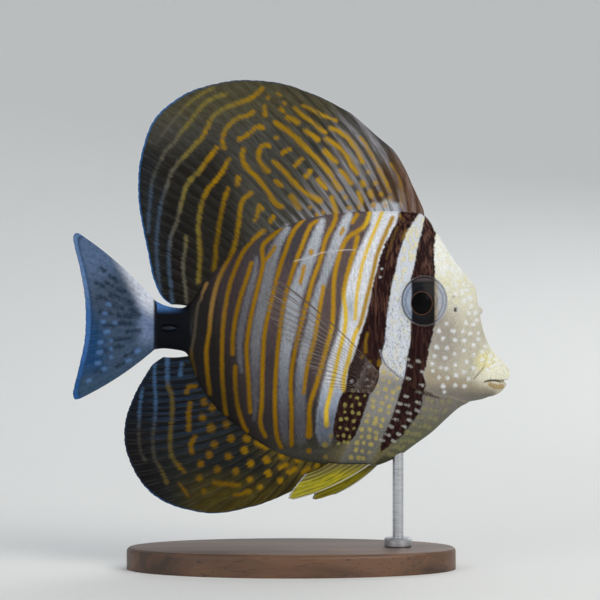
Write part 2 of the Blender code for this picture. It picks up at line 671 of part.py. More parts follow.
def make_stand():
    """A bevelled oval base, and a rod with a collar whose top is cut to the belly."""
    bm = bmesh.new()
    bmesh.ops.create_cone(
        bm, cap_ends=True, segments=BASE_SIDES, radius1=0.5, radius2=0.5, depth=1.0
    )
    size = Matrix.Diagonal((BASE_LENGTH, BASE_WIDTH, BASE_THICKNESS, 1))
    bm.transform(Matrix.Translation((0, 0, BASE_THICKNESS / 2)) @ size)
    top_edges = [e for e in bm.edges if all(v.co.z > BASE_THICKNESS * 0.9 for v in e.verts)]
    bmesh.ops.bevel(
        bm, geom=top_edges, offset=BASE_BEVEL, offset_type="OFFSET", segments=BASE_BEVEL_STEPS,
        profile=0.5, affect="EDGES", material=-1,
    )
    paint(object_from("stand_base", mesh_from(bm)), "stand_wood")
    rod_x = place(ROD_U, 0)[0]
    foot_z = BASE_THICKNESS + GAP
    top_z = edge_z(rod_x, 0.0, False) + ROD_REACH
    middle = (rod_x, 0, (foot_z + top_z) / 2)
    rod_mesh = round_bar(middle, ROD_DIAMETER / 2, top_z - foot_z, (0, 0, 1), sides=ROD_SIDES)
    rod = object_from("stand_rod", rod_mesh)
    collar_middle = (rod_x, 0, foot_z + COLLAR_HEIGHT / 2)
    collar = round_bar(
        collar_middle, COLLAR_DIAMETER / 2, COLLAR_HEIGHT, (0, 0, 1), sides=ROD_SIDES
    )
    combine(rod, [collar], "UNION")
    combine(rod, [loft(extra=GAP)], "DIFFERENCE")
    rod.data = mesh_of_faces(rod.data, loose_pieces(rod.data)[0])
    paint(rod, "stand_steel")


clear_scene()
make_body()
make_eyes()
make_tail_spines()
make_dorsal_fin()
make_anal_fin()
make_caudal_fin()
make_pectoral_fins()
make_pelvic_fins()
make_stand()
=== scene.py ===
# %% [markdown]
# # A red sea sailfin tang, painted as a museum model
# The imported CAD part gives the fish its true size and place. This script gives it its looks: one
# continuous skin, finely rayed fins, glassy eyes and a plain stand. Loading the frame comes first,
# because every new piece is set where the CAD says and rides on its body.

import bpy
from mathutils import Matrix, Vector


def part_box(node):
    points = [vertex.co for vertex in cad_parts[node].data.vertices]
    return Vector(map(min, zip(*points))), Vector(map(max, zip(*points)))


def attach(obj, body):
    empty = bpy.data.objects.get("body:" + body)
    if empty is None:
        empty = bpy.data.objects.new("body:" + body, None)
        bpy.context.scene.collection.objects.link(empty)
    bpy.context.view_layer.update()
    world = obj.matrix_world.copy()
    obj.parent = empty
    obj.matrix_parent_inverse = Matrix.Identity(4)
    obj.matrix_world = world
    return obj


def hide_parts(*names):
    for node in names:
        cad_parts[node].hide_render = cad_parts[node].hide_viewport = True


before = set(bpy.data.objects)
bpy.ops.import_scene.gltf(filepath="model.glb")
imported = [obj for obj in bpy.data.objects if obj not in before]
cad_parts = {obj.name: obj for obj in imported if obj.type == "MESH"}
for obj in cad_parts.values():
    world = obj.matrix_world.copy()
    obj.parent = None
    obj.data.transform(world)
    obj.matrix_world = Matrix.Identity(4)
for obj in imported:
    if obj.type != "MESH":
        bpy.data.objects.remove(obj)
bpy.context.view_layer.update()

import math
from functools import partial

import bmesh
import bpy
import numpy as np
from mathutils import Matrix, Vector
from mathutils.bvhtree import BVHTree

print("CAD nodes:", len(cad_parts))

# %% [markdown]
# ## The drawing grid
# A fish is drawn best in side view. Every outline and marking below is a place on a drawing grid:
# u runs towards the snout, v runs down, and one step is GRID metres. These are the values that the
# CAD source uses, so a skin drawn here lands on the solids. The camera stands at a real distance,
# so a mark on the bulging flank looks a little farther from the picture's middle than on a flat
# card. The function seen_at allows for that.

# %% Grid, lengths and the viewpoint
# The fish is 160 mm and 438.6 grid steps long, and its lowest fin ends 20 mm above the floor.
MM = 0.001
GRID = 0.160 / 438.6
DRAWN_MIDDLE = 291.2
DRAWN_LOWEST = 513.6
LOWEST_FIN_Z = 0.020
PICTURE_MIDDLE = 300.0
PICTURE_WIDTH = 600.0
CAMERA_DISTANCE = 0.9


def place(u, v):
    """Grid place to X and Z in metres."""
    return (u - DRAWN_MIDDLE) * GRID, LOWEST_FIN_Z + (DRAWN_LOWEST - v) * GRID


CAMERA_X, CAMERA_Z = place(PICTURE_MIDDLE, PICTURE_MIDDLE)


def seen_at(points):
    """Where the camera sees points of the near flank, on the grid. The far flank mirrors it."""
    steps = CAMERA_DISTANCE / (CAMERA_DISTANCE - np.abs(points[:, 1])) / GRID
    u = PICTURE_MIDDLE + (points[:, 0] - CAMERA_X) * steps
    v = PICTURE_MIDDLE - (points[:, 2] - CAMERA_Z) * steps
    return u, v


print("one grid step is", round(GRID / MM, 4), "mm")

# %% [markdown]
# ## Camera, floor and light
# The photograph looks square at the fish's right side. The camera does the same, level with the
# middle of the picture. The fish stands in a wide pale bowl: a flat floor that curves up into a
# wall all round, so no horizon shows from any side. The profile is spun round with one operator.
# The light is a large soft box above the snout, a weaker one at the tail side, one behind that
# lifts the outline, and a pale sky. View transform Standard keeps the paint's hex values as they
# were chosen.

# %% Camera
def into_scene(name, data):
    """A new object at the origin that holds a camera, a lamp or a mesh."""
    thing = bpy.data.objects.new(name, data)
    bpy.context.scene.collection.objects.link(thing)
    return thing


SENSOR = 36.0
camera_data = bpy.data.cameras.new("camera")
camera_data.sensor_width = SENSOR
camera_data.lens = SENSOR * CAMERA_DISTANCE / (PICTURE_WIDTH * GRID)
camera_data.clip_start = 0.05
camera_data.clip_end = 50.0
camera = into_scene("camera", camera_data)
camera.location = (CAMERA_X, -CAMERA_DISTANCE, CAMERA_Z)
camera.rotation_euler = (math.radians(90), 0.0, 0.0)
bpy.context.scene.camera = camera
bpy.context.scene.view_settings.view_transform = "Standard"
print("lens", round(camera_data.lens, 1), "mm")

# %% [markdown]
# ## Helpers for materials and pieces
# A material is a small tree of nodes. One function adds any node, and new_material hands that
# function over already tied to the new tree. Paint colours are chosen as sRGB hex values, which
# the shader needs as linear numbers.


# %% Small helpers that every piece uses
def linear(hex_colour):
    """An sRGB hex colour as linear RGBA."""
    parts = [int(hex_colour[k:k + 2], 16) / 255 for k in (1, 3, 5)]
    curved = [c / 12.92 if c <= 0.04045 else ((c + 0.055) / 1.055) ** 2.4 for c in parts]
    return (*curved, 1.0)


# The output that a kind of node is mostly wanted for
USUAL_OUTPUT = {
    "Attribute": "Fac", "Bump": "Normal", "CombineXYZ": "Vector", "MapRange": "Result",
    "Mapping": "Vector", "Math": 0, "Mix": "Result", "TexNoise": "Fac", "TexVoronoi": "Distance",
}


def add_node(tree, kind, inputs=None, take=None, **settings):
    """Adds a shader node, applies its settings, and sets or links each input. It gives back the
    output that take names, or else the usual one of its kind."""
    node = tree.nodes.new("ShaderNode" + kind)
    for name, value in settings.items():
        setattr(node, name, value)
    for key, value in (inputs or {}).items():
        if isinstance(value, bpy.types.NodeSocket):
            tree.links.new(value, node.inputs[key])
        else:
            node.inputs[key].default_value = value
    return node.outputs[USUAL_OUTPUT[kind] if take is None else take]


def span(value, start, end, low=0.0, high=1.0):
    """Inputs of a range: a value that goes from start to end is sent from low to high."""
    return {"Value": value, "From Min": start, "From Max": end, "To Min": low, "To Max": high}


def new_material(name, **sockets):
    """A material, the node adder for its tree, and its shader with sockets set by name."""
    material = bpy.data.materials.new(name)
    material.use_nodes = True
    shader = material.node_tree.nodes["Principled BSDF"]
    for key, value in sockets.items():
        shader.inputs[key.replace("_", " ")].default_value = value
    return material, partial(add_node, material.node_tree), shader


def wire(shader, **links):
    """Links finished colours, heights or shares to the shader's sockets by name."""
    for key, output in links.items():
        shader.id_data.links.new(output, shader.inputs[key.replace("_", " ")])


def piece_from(name, bm, material):
    """A finished piece from a bmesh: smooth faces that point outwards, at the origin."""
    bmesh.ops.recalc_face_normals(bm, faces=bm.faces)
    mesh = bpy.data.meshes.new(name)
    bm.to_mesh(mesh)
    bm.free()
    mesh.shade_smooth()
    mesh.materials.append(material)
    return into_scene(name, mesh)


# %% The bowl that stands for floor and backdrop
# Matt paper: rough and without gloss, so it shows soft shadows and no highlights. Its fibres are
# drawn as clumps, because single ones would be far too fine to show.
FLOOR_RADIUS = 0.7
BOWL_CURVE = 2.4
BOWL_STEPS = 24
WALL_TOP = 2.6
PAPER_FIBRE_MM = 2.5

paper, add, shader = new_material("matt_backdrop_paper", Roughness=0.9)
where = add("TexCoord", take="Object")
fibres = add("TexNoise", {"Vector": where, "Scale": 1 / (PAPER_FIBRE_MM * MM), "Detail": 3.0})
paper_tint = add(
    "Mix", {"Factor": fibres, "A": linear("#E6E6E3"), "B": linear("#EAEAE7")}, data_type="RGBA",
)
wire(shader, Base_Color=paper_tint)

bm = bmesh.new()
profile = [bm.verts.new((0, 0, 0)), bm.verts.new((FLOOR_RADIUS, 0, 0))]
for k in range(1, BOWL_STEPS + 1):
    turn = math.radians(90) * k / BOWL_STEPS
    x = FLOOR_RADIUS + BOWL_CURVE * math.sin(turn)
    profile.append(bm.verts.new((x, 0, BOWL_CURVE * (1 - math.cos(turn)))))
profile.append(bm.verts.new((FLOOR_RADIUS + BOWL_CURVE, 0, WALL_TOP)))
edges = [bm.edges.new(pair) for pair in zip(profile, profile[1:])]
bmesh.ops.spin(
    bm, geom=[*profile, *edges], cent=(0, 0, 0), axis=(0, 0, 1),
    angle=2 * math.pi, steps=96, use_merge=True,
)
bmesh.ops.remove_doubles(bm, verts=bm.verts, dist=1e-5)
bowl = piece_from("backdrop_bowl", bm, paper)
print("bowl faces:", len(bowl.data.polygons))


# %% Soft boxes and sky
def soft_box(name, position, target, size, power, tint):
    """A square area light that faces its target."""
    data = bpy.data.lights.new(name, "AREA")
    data.size = size
    data.energy = power
    data.color = linear(tint)[:3]
    lamp = into_scene(name, data)
    lamp.location = position
    towards = Vector(target) - Vector(position)
    lamp.rotation_euler = towards.to_track_quat("-Z", "Y").to_euler()


soft_box("key_box", (0.85, -0.95, 0.85), (0.0, 0, 0.10), 0.9, 9.5, "#FFFAF2")
soft_box("fill_box", (-0.9, -1.1, 0.55), (0, 0, 0.09), 0.9, 3.0, "#F2F6FF")
soft_box("back_box", (0.5, 1.1, 0.9), (0, 0, 0.1), 0.9, 4.5, "#FFFFFF")
sky = bpy.data.worlds.new("studio_sky")
sky.use_nodes = True
background = sky.node_tree.nodes["Background"]
background.inputs["Color"].default_value = linear("#E8EDF5")
background.inputs["Strength"].default_value = 0.72
bpy.context.scene.world = sky

# %% [markdown]
# ## Curves, strokes and areas on the grid
# The fish's markings are strokes, dots and areas. Each is drawn as a few places on the grid, and
# numpy turns them into distances: how far every point of a mesh lies from the nearest edge of a
# mark, less than zero inside it. A distance changes evenly over a face, so the shader can cut a
# crisp edge from it even between mesh points, where a painted colour would blur.

# %% Curves and distances
def smooth_curve(points, count=None, shares=None):
    """Points on a Catmull-Rom curve: count even ones, or those at shares of its length."""
    p = np.array(points, float)
    p = np.vstack([2 * p[0] - p[1], p, 2 * p[-1] - p[-2]])
    steps = 24
    t = np.arange(steps)[:, None] / steps
    curve = [
        0.5 * (2 * b + (c - a) * t + (2 * a - 5 * b + 4 * c - d) * t**2
               + (3 * b - a - 3 * c + d) * t**3)
        for a, b, c, d in zip(p[:-3], p[1:-2], p[2:-1], p[3:])
    ]
    curve = np.vstack([*curve, p[-2:-1]])
    steps_long = np.linalg.norm(np.diff(curve[:, :2], axis=0), axis=1)
    length = np.concatenate([[0], np.cumsum(steps_long)])
    wanted = (np.linspace(0, 1, count) if shares is None else np.array(shares)) * length[-1]
    return np.array([np.interp(wanted, length, curve[:, k]) for k in range(p.shape[1])]).T


REACH = 8.0


def stroke_distance(u, v, strokes, smooth=True):
    """Grid steps to the nearest stroke's edge, negative inside it and never more than REACH.
    A stroke is its half width and its places. A place may carry a half width of its own."""
    best = np.full(len(u), REACH)
    for half, points in strokes:
        path = np.array([(*p[:2], p[2] if len(p) > 2 else half) for p in points], float)
        if len(path) > 2 and smooth:
            path = smooth_curve(path, 3 * len(path))
        if len(path) == 1:
            path = np.vstack([path, path])
        margin = REACH + path[:, 2].max()
        low, high = path[:, :2].min(0) - margin, path[:, :2].max(0) + margin
        near = np.flatnonzero((u > low[0]) & (u < high[0]) & (v > low[1]) & (v < high[1]))
        near_u, near_v, found = u[near], v[near], best[near]
        for (au, av, ah), (bu, bv, bh) in zip(path, path[1:]):
            du, dv = bu - au, bv - av
            squared = max(du * du + dv * dv, 1e-9)
            t = np.clip(((near_u - au) * du + (near_v - av) * dv) / squared, 0, 1)
            gap = np.hypot(near_u - au - t * du, near_v - av - t * dv) - ah - t * (bh - ah)
            np.minimum(found, gap, out=found)
        best[near] = found
    return best


def area_distance(u, v, outline):
    """Grid steps to an outline, negative inside it."""
    ends = [*outline[1:], outline[0]]
    edge = stroke_distance(u, v, [(0.0, [*outline, outline[0]])], smooth=False)
    inside = np.zeros(len(u), bool)
    for (au, av), (bu, bv) in zip(outline, ends):
        if av != bv:
            crosses = (av > v) != (bv > v)
            inside ^= crosses & (u < au + (v - av) / (bv - av) * (bu - au))
    return np.where(inside, -edge, edge)


def line_side(u, v, line):
    """Signed grid steps from a long line. Where it runs downwards, the head side is positive."""
    path = smooth_curve(line, 3 * len(line))
    best = np.full(len(u), 1e9)
    signed = np.full(len(u), 1e9)
    for (au, av), (bu, bv) in zip(path, path[1:]):
        du, dv = bu - au, bv - av
        t = np.clip(((u - au) * du + (v - av) * dv) / (du * du + dv * dv), 0, 1)
        gap = np.hypot(u - au - t * du, v - av - t * dv)
        side = np.sign((u - au) * dv - (v - av) * du)
        closer = gap < best
        best[closer] = gap[closer]
        signed[closer] = (gap * side)[closer]
    return signed


def ramp(value, low, high):
    """Smooth step from 0 at low to 1 at high. High may be the lower one."""
    t = np.clip((value - low) / (high - low), 0, 1)
    return t * t * (3 - 2 * t)


def mixed(colour, hex_colour, share):
    """An array of RGBA colours moved towards one hex colour by a share at each point."""
    return colour + (np.array(linear(hex_colour)) - colour) * np.clip(share, 0, 1)[:, None]


def blended(u, hex_colour, areas):
    """One colour at every point, with areas laid over it. An area is a colour and its shares."""
    colour = np.tile(linear(hex_colour), (len(u), 1))
    for paint_hex, share in areas:
        colour = mixed(colour, paint_hex, share)
    return colour


def dots_between(left, right, rows, columns, radius, seed, long=0.2):
    """Dots in staggered rows between two lines, each moved and sized a little at random."""
    draw = np.random.default_rng(seed)
    left_side, right_side = smooth_curve(left, rows), smooth_curve(right, rows)
    dots = []
    for row in range(rows):
        for column in range(columns):
            share = (column + 0.5 + 0.3 * (row % 2 - 0.5)) / columns + draw.normal(0, 0.03)
            u, v = left_side[row] * (1 - share) + right_side[row] * share
            size = radius * draw.uniform(0.8, 1.2)
            v += draw.normal(0, 0.7)
            dots.append((size, ((u - long, v - long / 3), (u + long, v + long / 3))))
    return dots


# %% Meshes as arrays
def points_of(mesh):
    """The points of a mesh as rows of X, Y and Z."""
    co = np.zeros(len(mesh.vertices) * 3, np.float32)
    mesh.vertices.foreach_get("co", co)
    return co.reshape(-1, 3).astype(float)


def move_points(mesh, points):
    """Sends every point of a mesh to a new place."""
    mesh.vertices.foreach_set("co", points.astype(np.float32).ravel())
    mesh.update()


def keep_value(mesh, name, values):
    """One number for every point of the mesh, for a shader to read."""
    layer = mesh.attributes.new(name, "FLOAT", "POINT")
    layer.data.foreach_set("value", values.astype(np.float32))


def keep_colour(mesh, name, colours):
    """One colour for every point of the mesh."""
    layer = mesh.attributes.new(name, "FLOAT_COLOR", "POINT")
    layer.data.foreach_set("color", colours.astype(np.float32).ravel())


# %% [markdown]
# ## How the paint is laid
# All skins and fins are painted in coats, as a taxidermist's airbrush does it: a ground colour,
# then each mark over it. A mark's edge is cut from its distance, with a little noise added so
# that no edge is ruler-straight.


# %% Coats of paint
def mark_mask(add, name, soft, wobble=0.0, grow=0.0):
    """1 inside a mark and 0 outside. Soft is the edge's half width in grid steps."""
    distance = add("Attribute", attribute_name=name)
    uneven = add("Math", {0: distance, 1: wobble}, operation="ADD")
    edge = span(uneven, grow + soft, grow - soft)
    return add("MapRange", edge, interpolation_type="SMOOTHSTEP")


def airbrush(add, colour, coats):
    """Sprays coats over a colour. A coat is its paint, its mask and how well it covers."""
    colour = linear(colour) if isinstance(colour, str) else colour
    for paint, mask, cover in coats:
        paint = linear(paint) if isinstance(paint, str) else paint
        share = add("Math", {0: mask, 1: cover}, operation="MULTIPLY")
        colour = add("Mix", {"Factor": share, "A": colour, "B": paint}, data_type="RGBA")
    return colour


# %% [markdown]
# ## The body's form
# A tang's body is a thin disc: over 90 mm deep and only 20 mm wide. It is one skin from the lips
# to the tail's root, so that no seam shows where the CAD parts meet. The mesh starts as a UV
# sphere, whose rings become the body's sections and whose poles close the snout and the tail's
# root. The sections are the CAD's own: where the back and the belly lie, and how wide the fish is
# there. The rings stand closer together on the head, where the small marks are.

# %% Sections of the body, tail to snout
# Top u, v, bottom u, v, half width in mm, leanness of the edges, how far the width sits low
SECTIONS = (
    (154.5, 300.0, 154.5, 349.5, 1.9, 1.00, 0.00),
    (163.0, 304.6, 163.0, 348.5, 2.6, 1.00, 0.00),
    (174.0, 307.4, 174.0, 349.5, 3.0, 1.00, 0.00),
    (184.5, 307.2, 185.5, 352.5, 3.5, 1.02, 0.00),
    (192.5, 299.0, 191.0, 363.0, 3.9, 1.06, 0.00),
    (201.0, 286.5, 197.0, 380.0, 4.6, 1.10, 0.00),
    (213.0, 272.5, 207.0, 397.0, 5.5, 1.14, 0.00),
    (226.0, 259.5, 221.0, 413.5, 6.4, 1.16, 0.00),
    (240.0, 248.0, 238.0, 427.5, 7.2, 1.16, 0.00),
    (256.0, 238.5, 255.0, 440.5, 7.9, 1.16, 0.00),
    (278.0, 228.5, 278.0, 453.5, 8.7, 1.16, 0.02),
    (305.0, 218.5, 303.0, 461.5, 9.5, 1.16, 0.04),
    (340.0, 212.0, 330.0, 465.0, 10.1, 1.16, 0.06),
    (376.0, 210.3, 355.0, 466.0, 10.3, 1.16, 0.08),
    (405.0, 210.8, 376.0, 465.5, 10.1, 1.16, 0.10),
    (424.0, 214.6, 397.0, 457.0, 9.8, 1.15, 0.12),
    (436.2, 231.8, 415.0, 444.5, 9.4, 1.14, 0.14),
    (446.6, 249.0, 431.4, 432.5, 8.8, 1.12, 0.16),
    (456.5, 263.5, 445.5, 419.5, 8.2, 1.10, 0.18),
    (467.0, 276.5, 458.0, 408.4, 7.5, 1.08, 0.20),
    (475.2, 287.5, 467.0, 403.4, 6.7, 1.06, 0.20),
    (478.2, 306.0, 476.0, 400.8, 5.8, 1.04, 0.18),
    (482.4, 327.0, 484.5, 398.6, 4.8, 1.02, 0.14),
    (488.2, 343.8, 491.0, 396.4, 4.0, 1.00, 0.10),
    (496.2, 355.0, 497.0, 394.2, 3.5, 1.00, 0.06),
    (502.8, 361.4, 501.6, 391.2, 2.8, 1.00, 0.04),
    (507.0, 367.0, 504.3, 387.2, 2.1, 1.00, 0.00),
)
SNOUT_TIP = (508.9, 376.0)
RINGS = 360
AROUND = 264
# The first rings close the tail's end and the last ones round the snout
TAIL_CAP = 6 / RINGS
SNOUT_CAP = 1 - 14 / RINGS
# Share of the rings, and the share of the back's length that they have reached
RING_SPREAD = ((TAIL_CAP, 0.56, 0.88, SNOUT_CAP), (0.0, 0.59, 0.92, 1.0))
EVEN_HEIGHTS = 0.75

# %% [markdown]
# The first shape is smooth. Each point of the sphere knows its ring, as an angle from the pole,
# and its place on the ring. Even angles would leave the tall flank with few points, so the
# heights on each ring are evened out by three quarters.


# %% Sphere to fish
def body_points(ball):
    """Points of a unit sphere moved onto the fish's smooth body."""
    along = np.arccos(np.clip(ball[:, 2], -1, 1)) / math.pi
    around = np.arctan2(ball[:, 1], ball[:, 0])
    part = np.abs(around) / math.pi
    angle = (1 - EVEN_HEIGHTS) * math.pi * part + EVEN_HEIGHTS * np.arccos(1 - 2 * part)
    shares, ring = np.unique(np.interp(along, *RING_SPREAD), return_inverse=True)
    row = smooth_curve(SECTIONS, shares=shares)[ring.reshape(-1)]
    top = np.stack(place(row[:, 0], row[:, 1]), axis=1)
    low = np.stack(place(row[:, 2], row[:, 3]), axis=1)
    middle, up = (top + low) / 2, np.cos(angle)
    wide = row[:, 4] * MM * np.sin(angle) ** row[:, 5] * (1 - row[:, 6] * up)
    # Past the first and the last section the rings shrink to a flat end and a round snout
    tail = np.clip(1 - along / TAIL_CAP, 0, 1)
    snout = np.clip((along - SNOUT_CAP) / (1 - SNOUT_CAP), 0, 1)
    shrink = np.cos(tail * math.pi / 2) * np.cos(snout * math.pi / 2)
    tip = np.array(place(*SNOUT_TIP))
    middle = middle + (tip - middle) * np.sin(snout * math.pi / 2)[:, None]
    side_view = middle + (top - low) / 2 * (up * shrink)[:, None]
    return np.stack([side_view[:, 0], wide * shrink * np.sign(around), side_view[:, 1]], axis=1)


bm = bmesh.new()
bmesh.ops.create_uvsphere(bm, u_segments=AROUND, v_segments=RINGS, radius=1.0)
skin_mesh = bpy.data.meshes.new("fish_skin")
bm.to_mesh(skin_mesh)
bm.free()
smooth_body = body_points(points_of(skin_mesh))
move_points(skin_mesh, smooth_body)


def volume_of(mesh):
    """Signed volume in cubic centimetres: below zero where the faces point inwards."""
    probe = bmesh.new()
    probe.from_mesh(mesh)
    volume = probe.calc_volume(signed=True)
    probe.free()
    return volume * 1e6


if volume_of(skin_mesh) < 0:
    skin_mesh.flip_normals()
print("body volume", round(volume_of(skin_mesh), 1), "cm3, points", len(smooth_body))

# %% [markdown]
# ## Relief of the head
# The gill cover is a bony plate whose rear edge stands off the flank. The eye sits in a ring of
# raised skin, each side has two nostrils with a pale lobe, and the lips are full, with a fold at
# the corner of the mouth. All of these are shallow, so they are raised along the normals of the
# smooth body: a Gaussian ridge or groove along a line, and a step at the gill cover.

# %% Lines and sizes of the relief
# Half sizes of the eyeball and of the ring of skin round it, in mm
EYE_X, EYE_Z = place(423.0, 301.0)
EYE_HALF = (8.6, 3.6, 9.3)
RIM_HALF = (8.4, 9.1)
EYE_RING_RISE, EYE_GROOVE, EYE_SOCKET = 0.62, 0.20, 2.4
# Heights of the gill cover's edge and of the groove behind it in mm, and the slope in grid steps
GILL_PLATE, GILL_GROOVE, GILL_SLOPE = 0.42, 0.30, 14.0
GILL_EDGE = (
    (385, 340), (382.4, 347), (381.0, 353), (383.6, 360.6), (388.2, 367.4), (395, 373.6),
    (403.1, 379.7), (410.4, 387.3), (419.5, 392.7), (429.5, 395), (437.1, 397.3), (450, 398),
)
# Height in mm, half width in grid steps, and the line
RIDGES = (
    (0.40, 3.2, ((486, 377.0), (493, 374.4), (500, 373.2), (508, 374.2))),
    (0.34, 2.4, ((489, 386.8), (495, 387.6), (502, 386.8))),
    (-1.10, 1.0, ((485, 382.6), (489, 381.0), (495, 380.6), (501, 381.4))),
    (-1.9, 1.5, ((503, 381.5), (507, 381.8), (513, 382.4))),
    (-0.30, 1.2, ((485, 382.4), (489, 385.8), (493.5, 388.6))),
    (-0.28, 1.5, ((487.5, 361.5), (486.2, 365), (481.5, 371.5), (474.5, 378.5))),
    (0.18, 3.4, ((480.5, 361), (478.5, 367), (473, 373))),
    (-0.30, 2.0, ((470, 402.2), (480, 397.2), (488, 396.0))),
    (0.22, 5.0, ((352, 362), (356, 374), (356, 388))),
    (0.30, 4.0, ((373, 372), (371, 381), (366, 390))),
    (0.14, 1.2, ((294.7, 261), (304, 258.6), (321, 253), (341.6, 250.4), (357, 250.4),
                 (364, 254), (371.2, 259))),
    (-0.14, 4.0, ((441, 282), (446, 301), (441, 322), (432, 330))),
)
# Rim and hole radius in mm, and the place
NOSTRILS = ((1.15, 0.55, (455.2, 309.8)), (0.75, 0.34, (453.6, 296.6)))
NOSTRIL_RISE, NOSTRIL_DEPTH = 0.30, 0.9
NOSTRIL_LOBE = (0.50, 2.2, ((456.8, 306.5), (459.4, 309.6), (458.4, 314)))
BROW_NUB = (2.8, 1.7, ((480.2, 308.5), (480.8, 312.0)))
# The tail spine's slot: its middle, half sizes, depth and rim in mm
SLOT_X, SLOT_Z = place(170.0, 328.0)
SLOT_HALF, SLOT_DEPTH, SLOT_RIM = (3.2, 1.2), 0.45, 0.22


def bell(value, middle, half):
    """1 where a value is at the middle, and less to either side of it."""
    return np.exp(-(((value - middle) / half) ** 2))


def relief_of(points):
    """How far each point of the smooth body rises in metres, and how far out it is on the eye's
    ring, where 1 is the ring's crest."""
    u, v = seen_at(points)
    rise = np.zeros(len(u))
    for height, half, line in (*RIDGES, NOSTRIL_LOBE):
        away = stroke_distance(u, v, [(0.0, line)])
        rise += np.where(away < REACH, height * bell(away, 0.0, half), 0.0)
    gill = line_side(u, v, GILL_EDGE)
    plate = np.where(gill > 0, GILL_PLATE * np.exp(-gill / GILL_SLOPE), 0.0)
    groove = GILL_GROOVE * bell(gill, -1.2, 1.5)
    fade = ramp(u, 452, 430) * (np.abs(gill) < 60)
    rise += (plate * ramp(gill, -0.4, 0.9) - groove) * fade
    for rim, hole, (nu, nv) in NOSTRILS:
        away = np.hypot(u - nu, v - nv) * GRID / MM
        rise += NOSTRIL_RISE * bell(away, rim * 0.85, 0.28)
        rise -= NOSTRIL_DEPTH * np.exp(-((away / hole) ** 4))
    height, half, line = BROW_NUB
    away = np.hypot(stroke_distance(u, v, [(0.0, line)]), points[:, 1] / GRID)
    rise += height * bell(away, 0.0, half)
    ring, slot = [
        np.hypot((points[:, 0] - x) / half[0], (points[:, 2] - z) / half[1]) / MM
        for x, z, half in ((EYE_X, EYE_Z, RIM_HALF), (SLOT_X, SLOT_Z, SLOT_HALF))
    ]
    rise += EYE_RING_RISE * bell(ring, 0.99, 0.075)
    rise -= EYE_GROOVE * bell(ring, 1.13, 0.05)
    rise -= EYE_SOCKET * ramp(ring, 0.93, 0.80)
    rise -= SLOT_DEPTH * ramp(slot, 1.15, 0.8)
    rise += SLOT_RIM * bell(slot, 1.3, 0.25)
    return rise * MM, ring


normals = np.zeros(len(smooth_body) * 3, np.float32)
skin_mesh.vertex_normals.foreach_get("vector", normals)
normals = normals.reshape(-1, 3).astype(float)
rise, eye_ring = relief_of(smooth_body)
skin_points = smooth_body + normals * rise[:, None]
move_points(skin_mesh, skin_points)
print("relief from", round(rise.min() / MM, 2), "to", round(rise.max() / MM, 2), "mm")

# %% [markdown]
# ## Markings of the body
# The flank has about twelve narrow yellow lines on silver and purple-brown bands. Two dark maroon
# bars cross the head, one of them through the eye, with a pale bar between them. White dots cover
# the face and yellow ones the throat. Each mark is written down as a few places along its middle.

# %% Yellow lines of the flank
YELLOW_HALF = 1.75
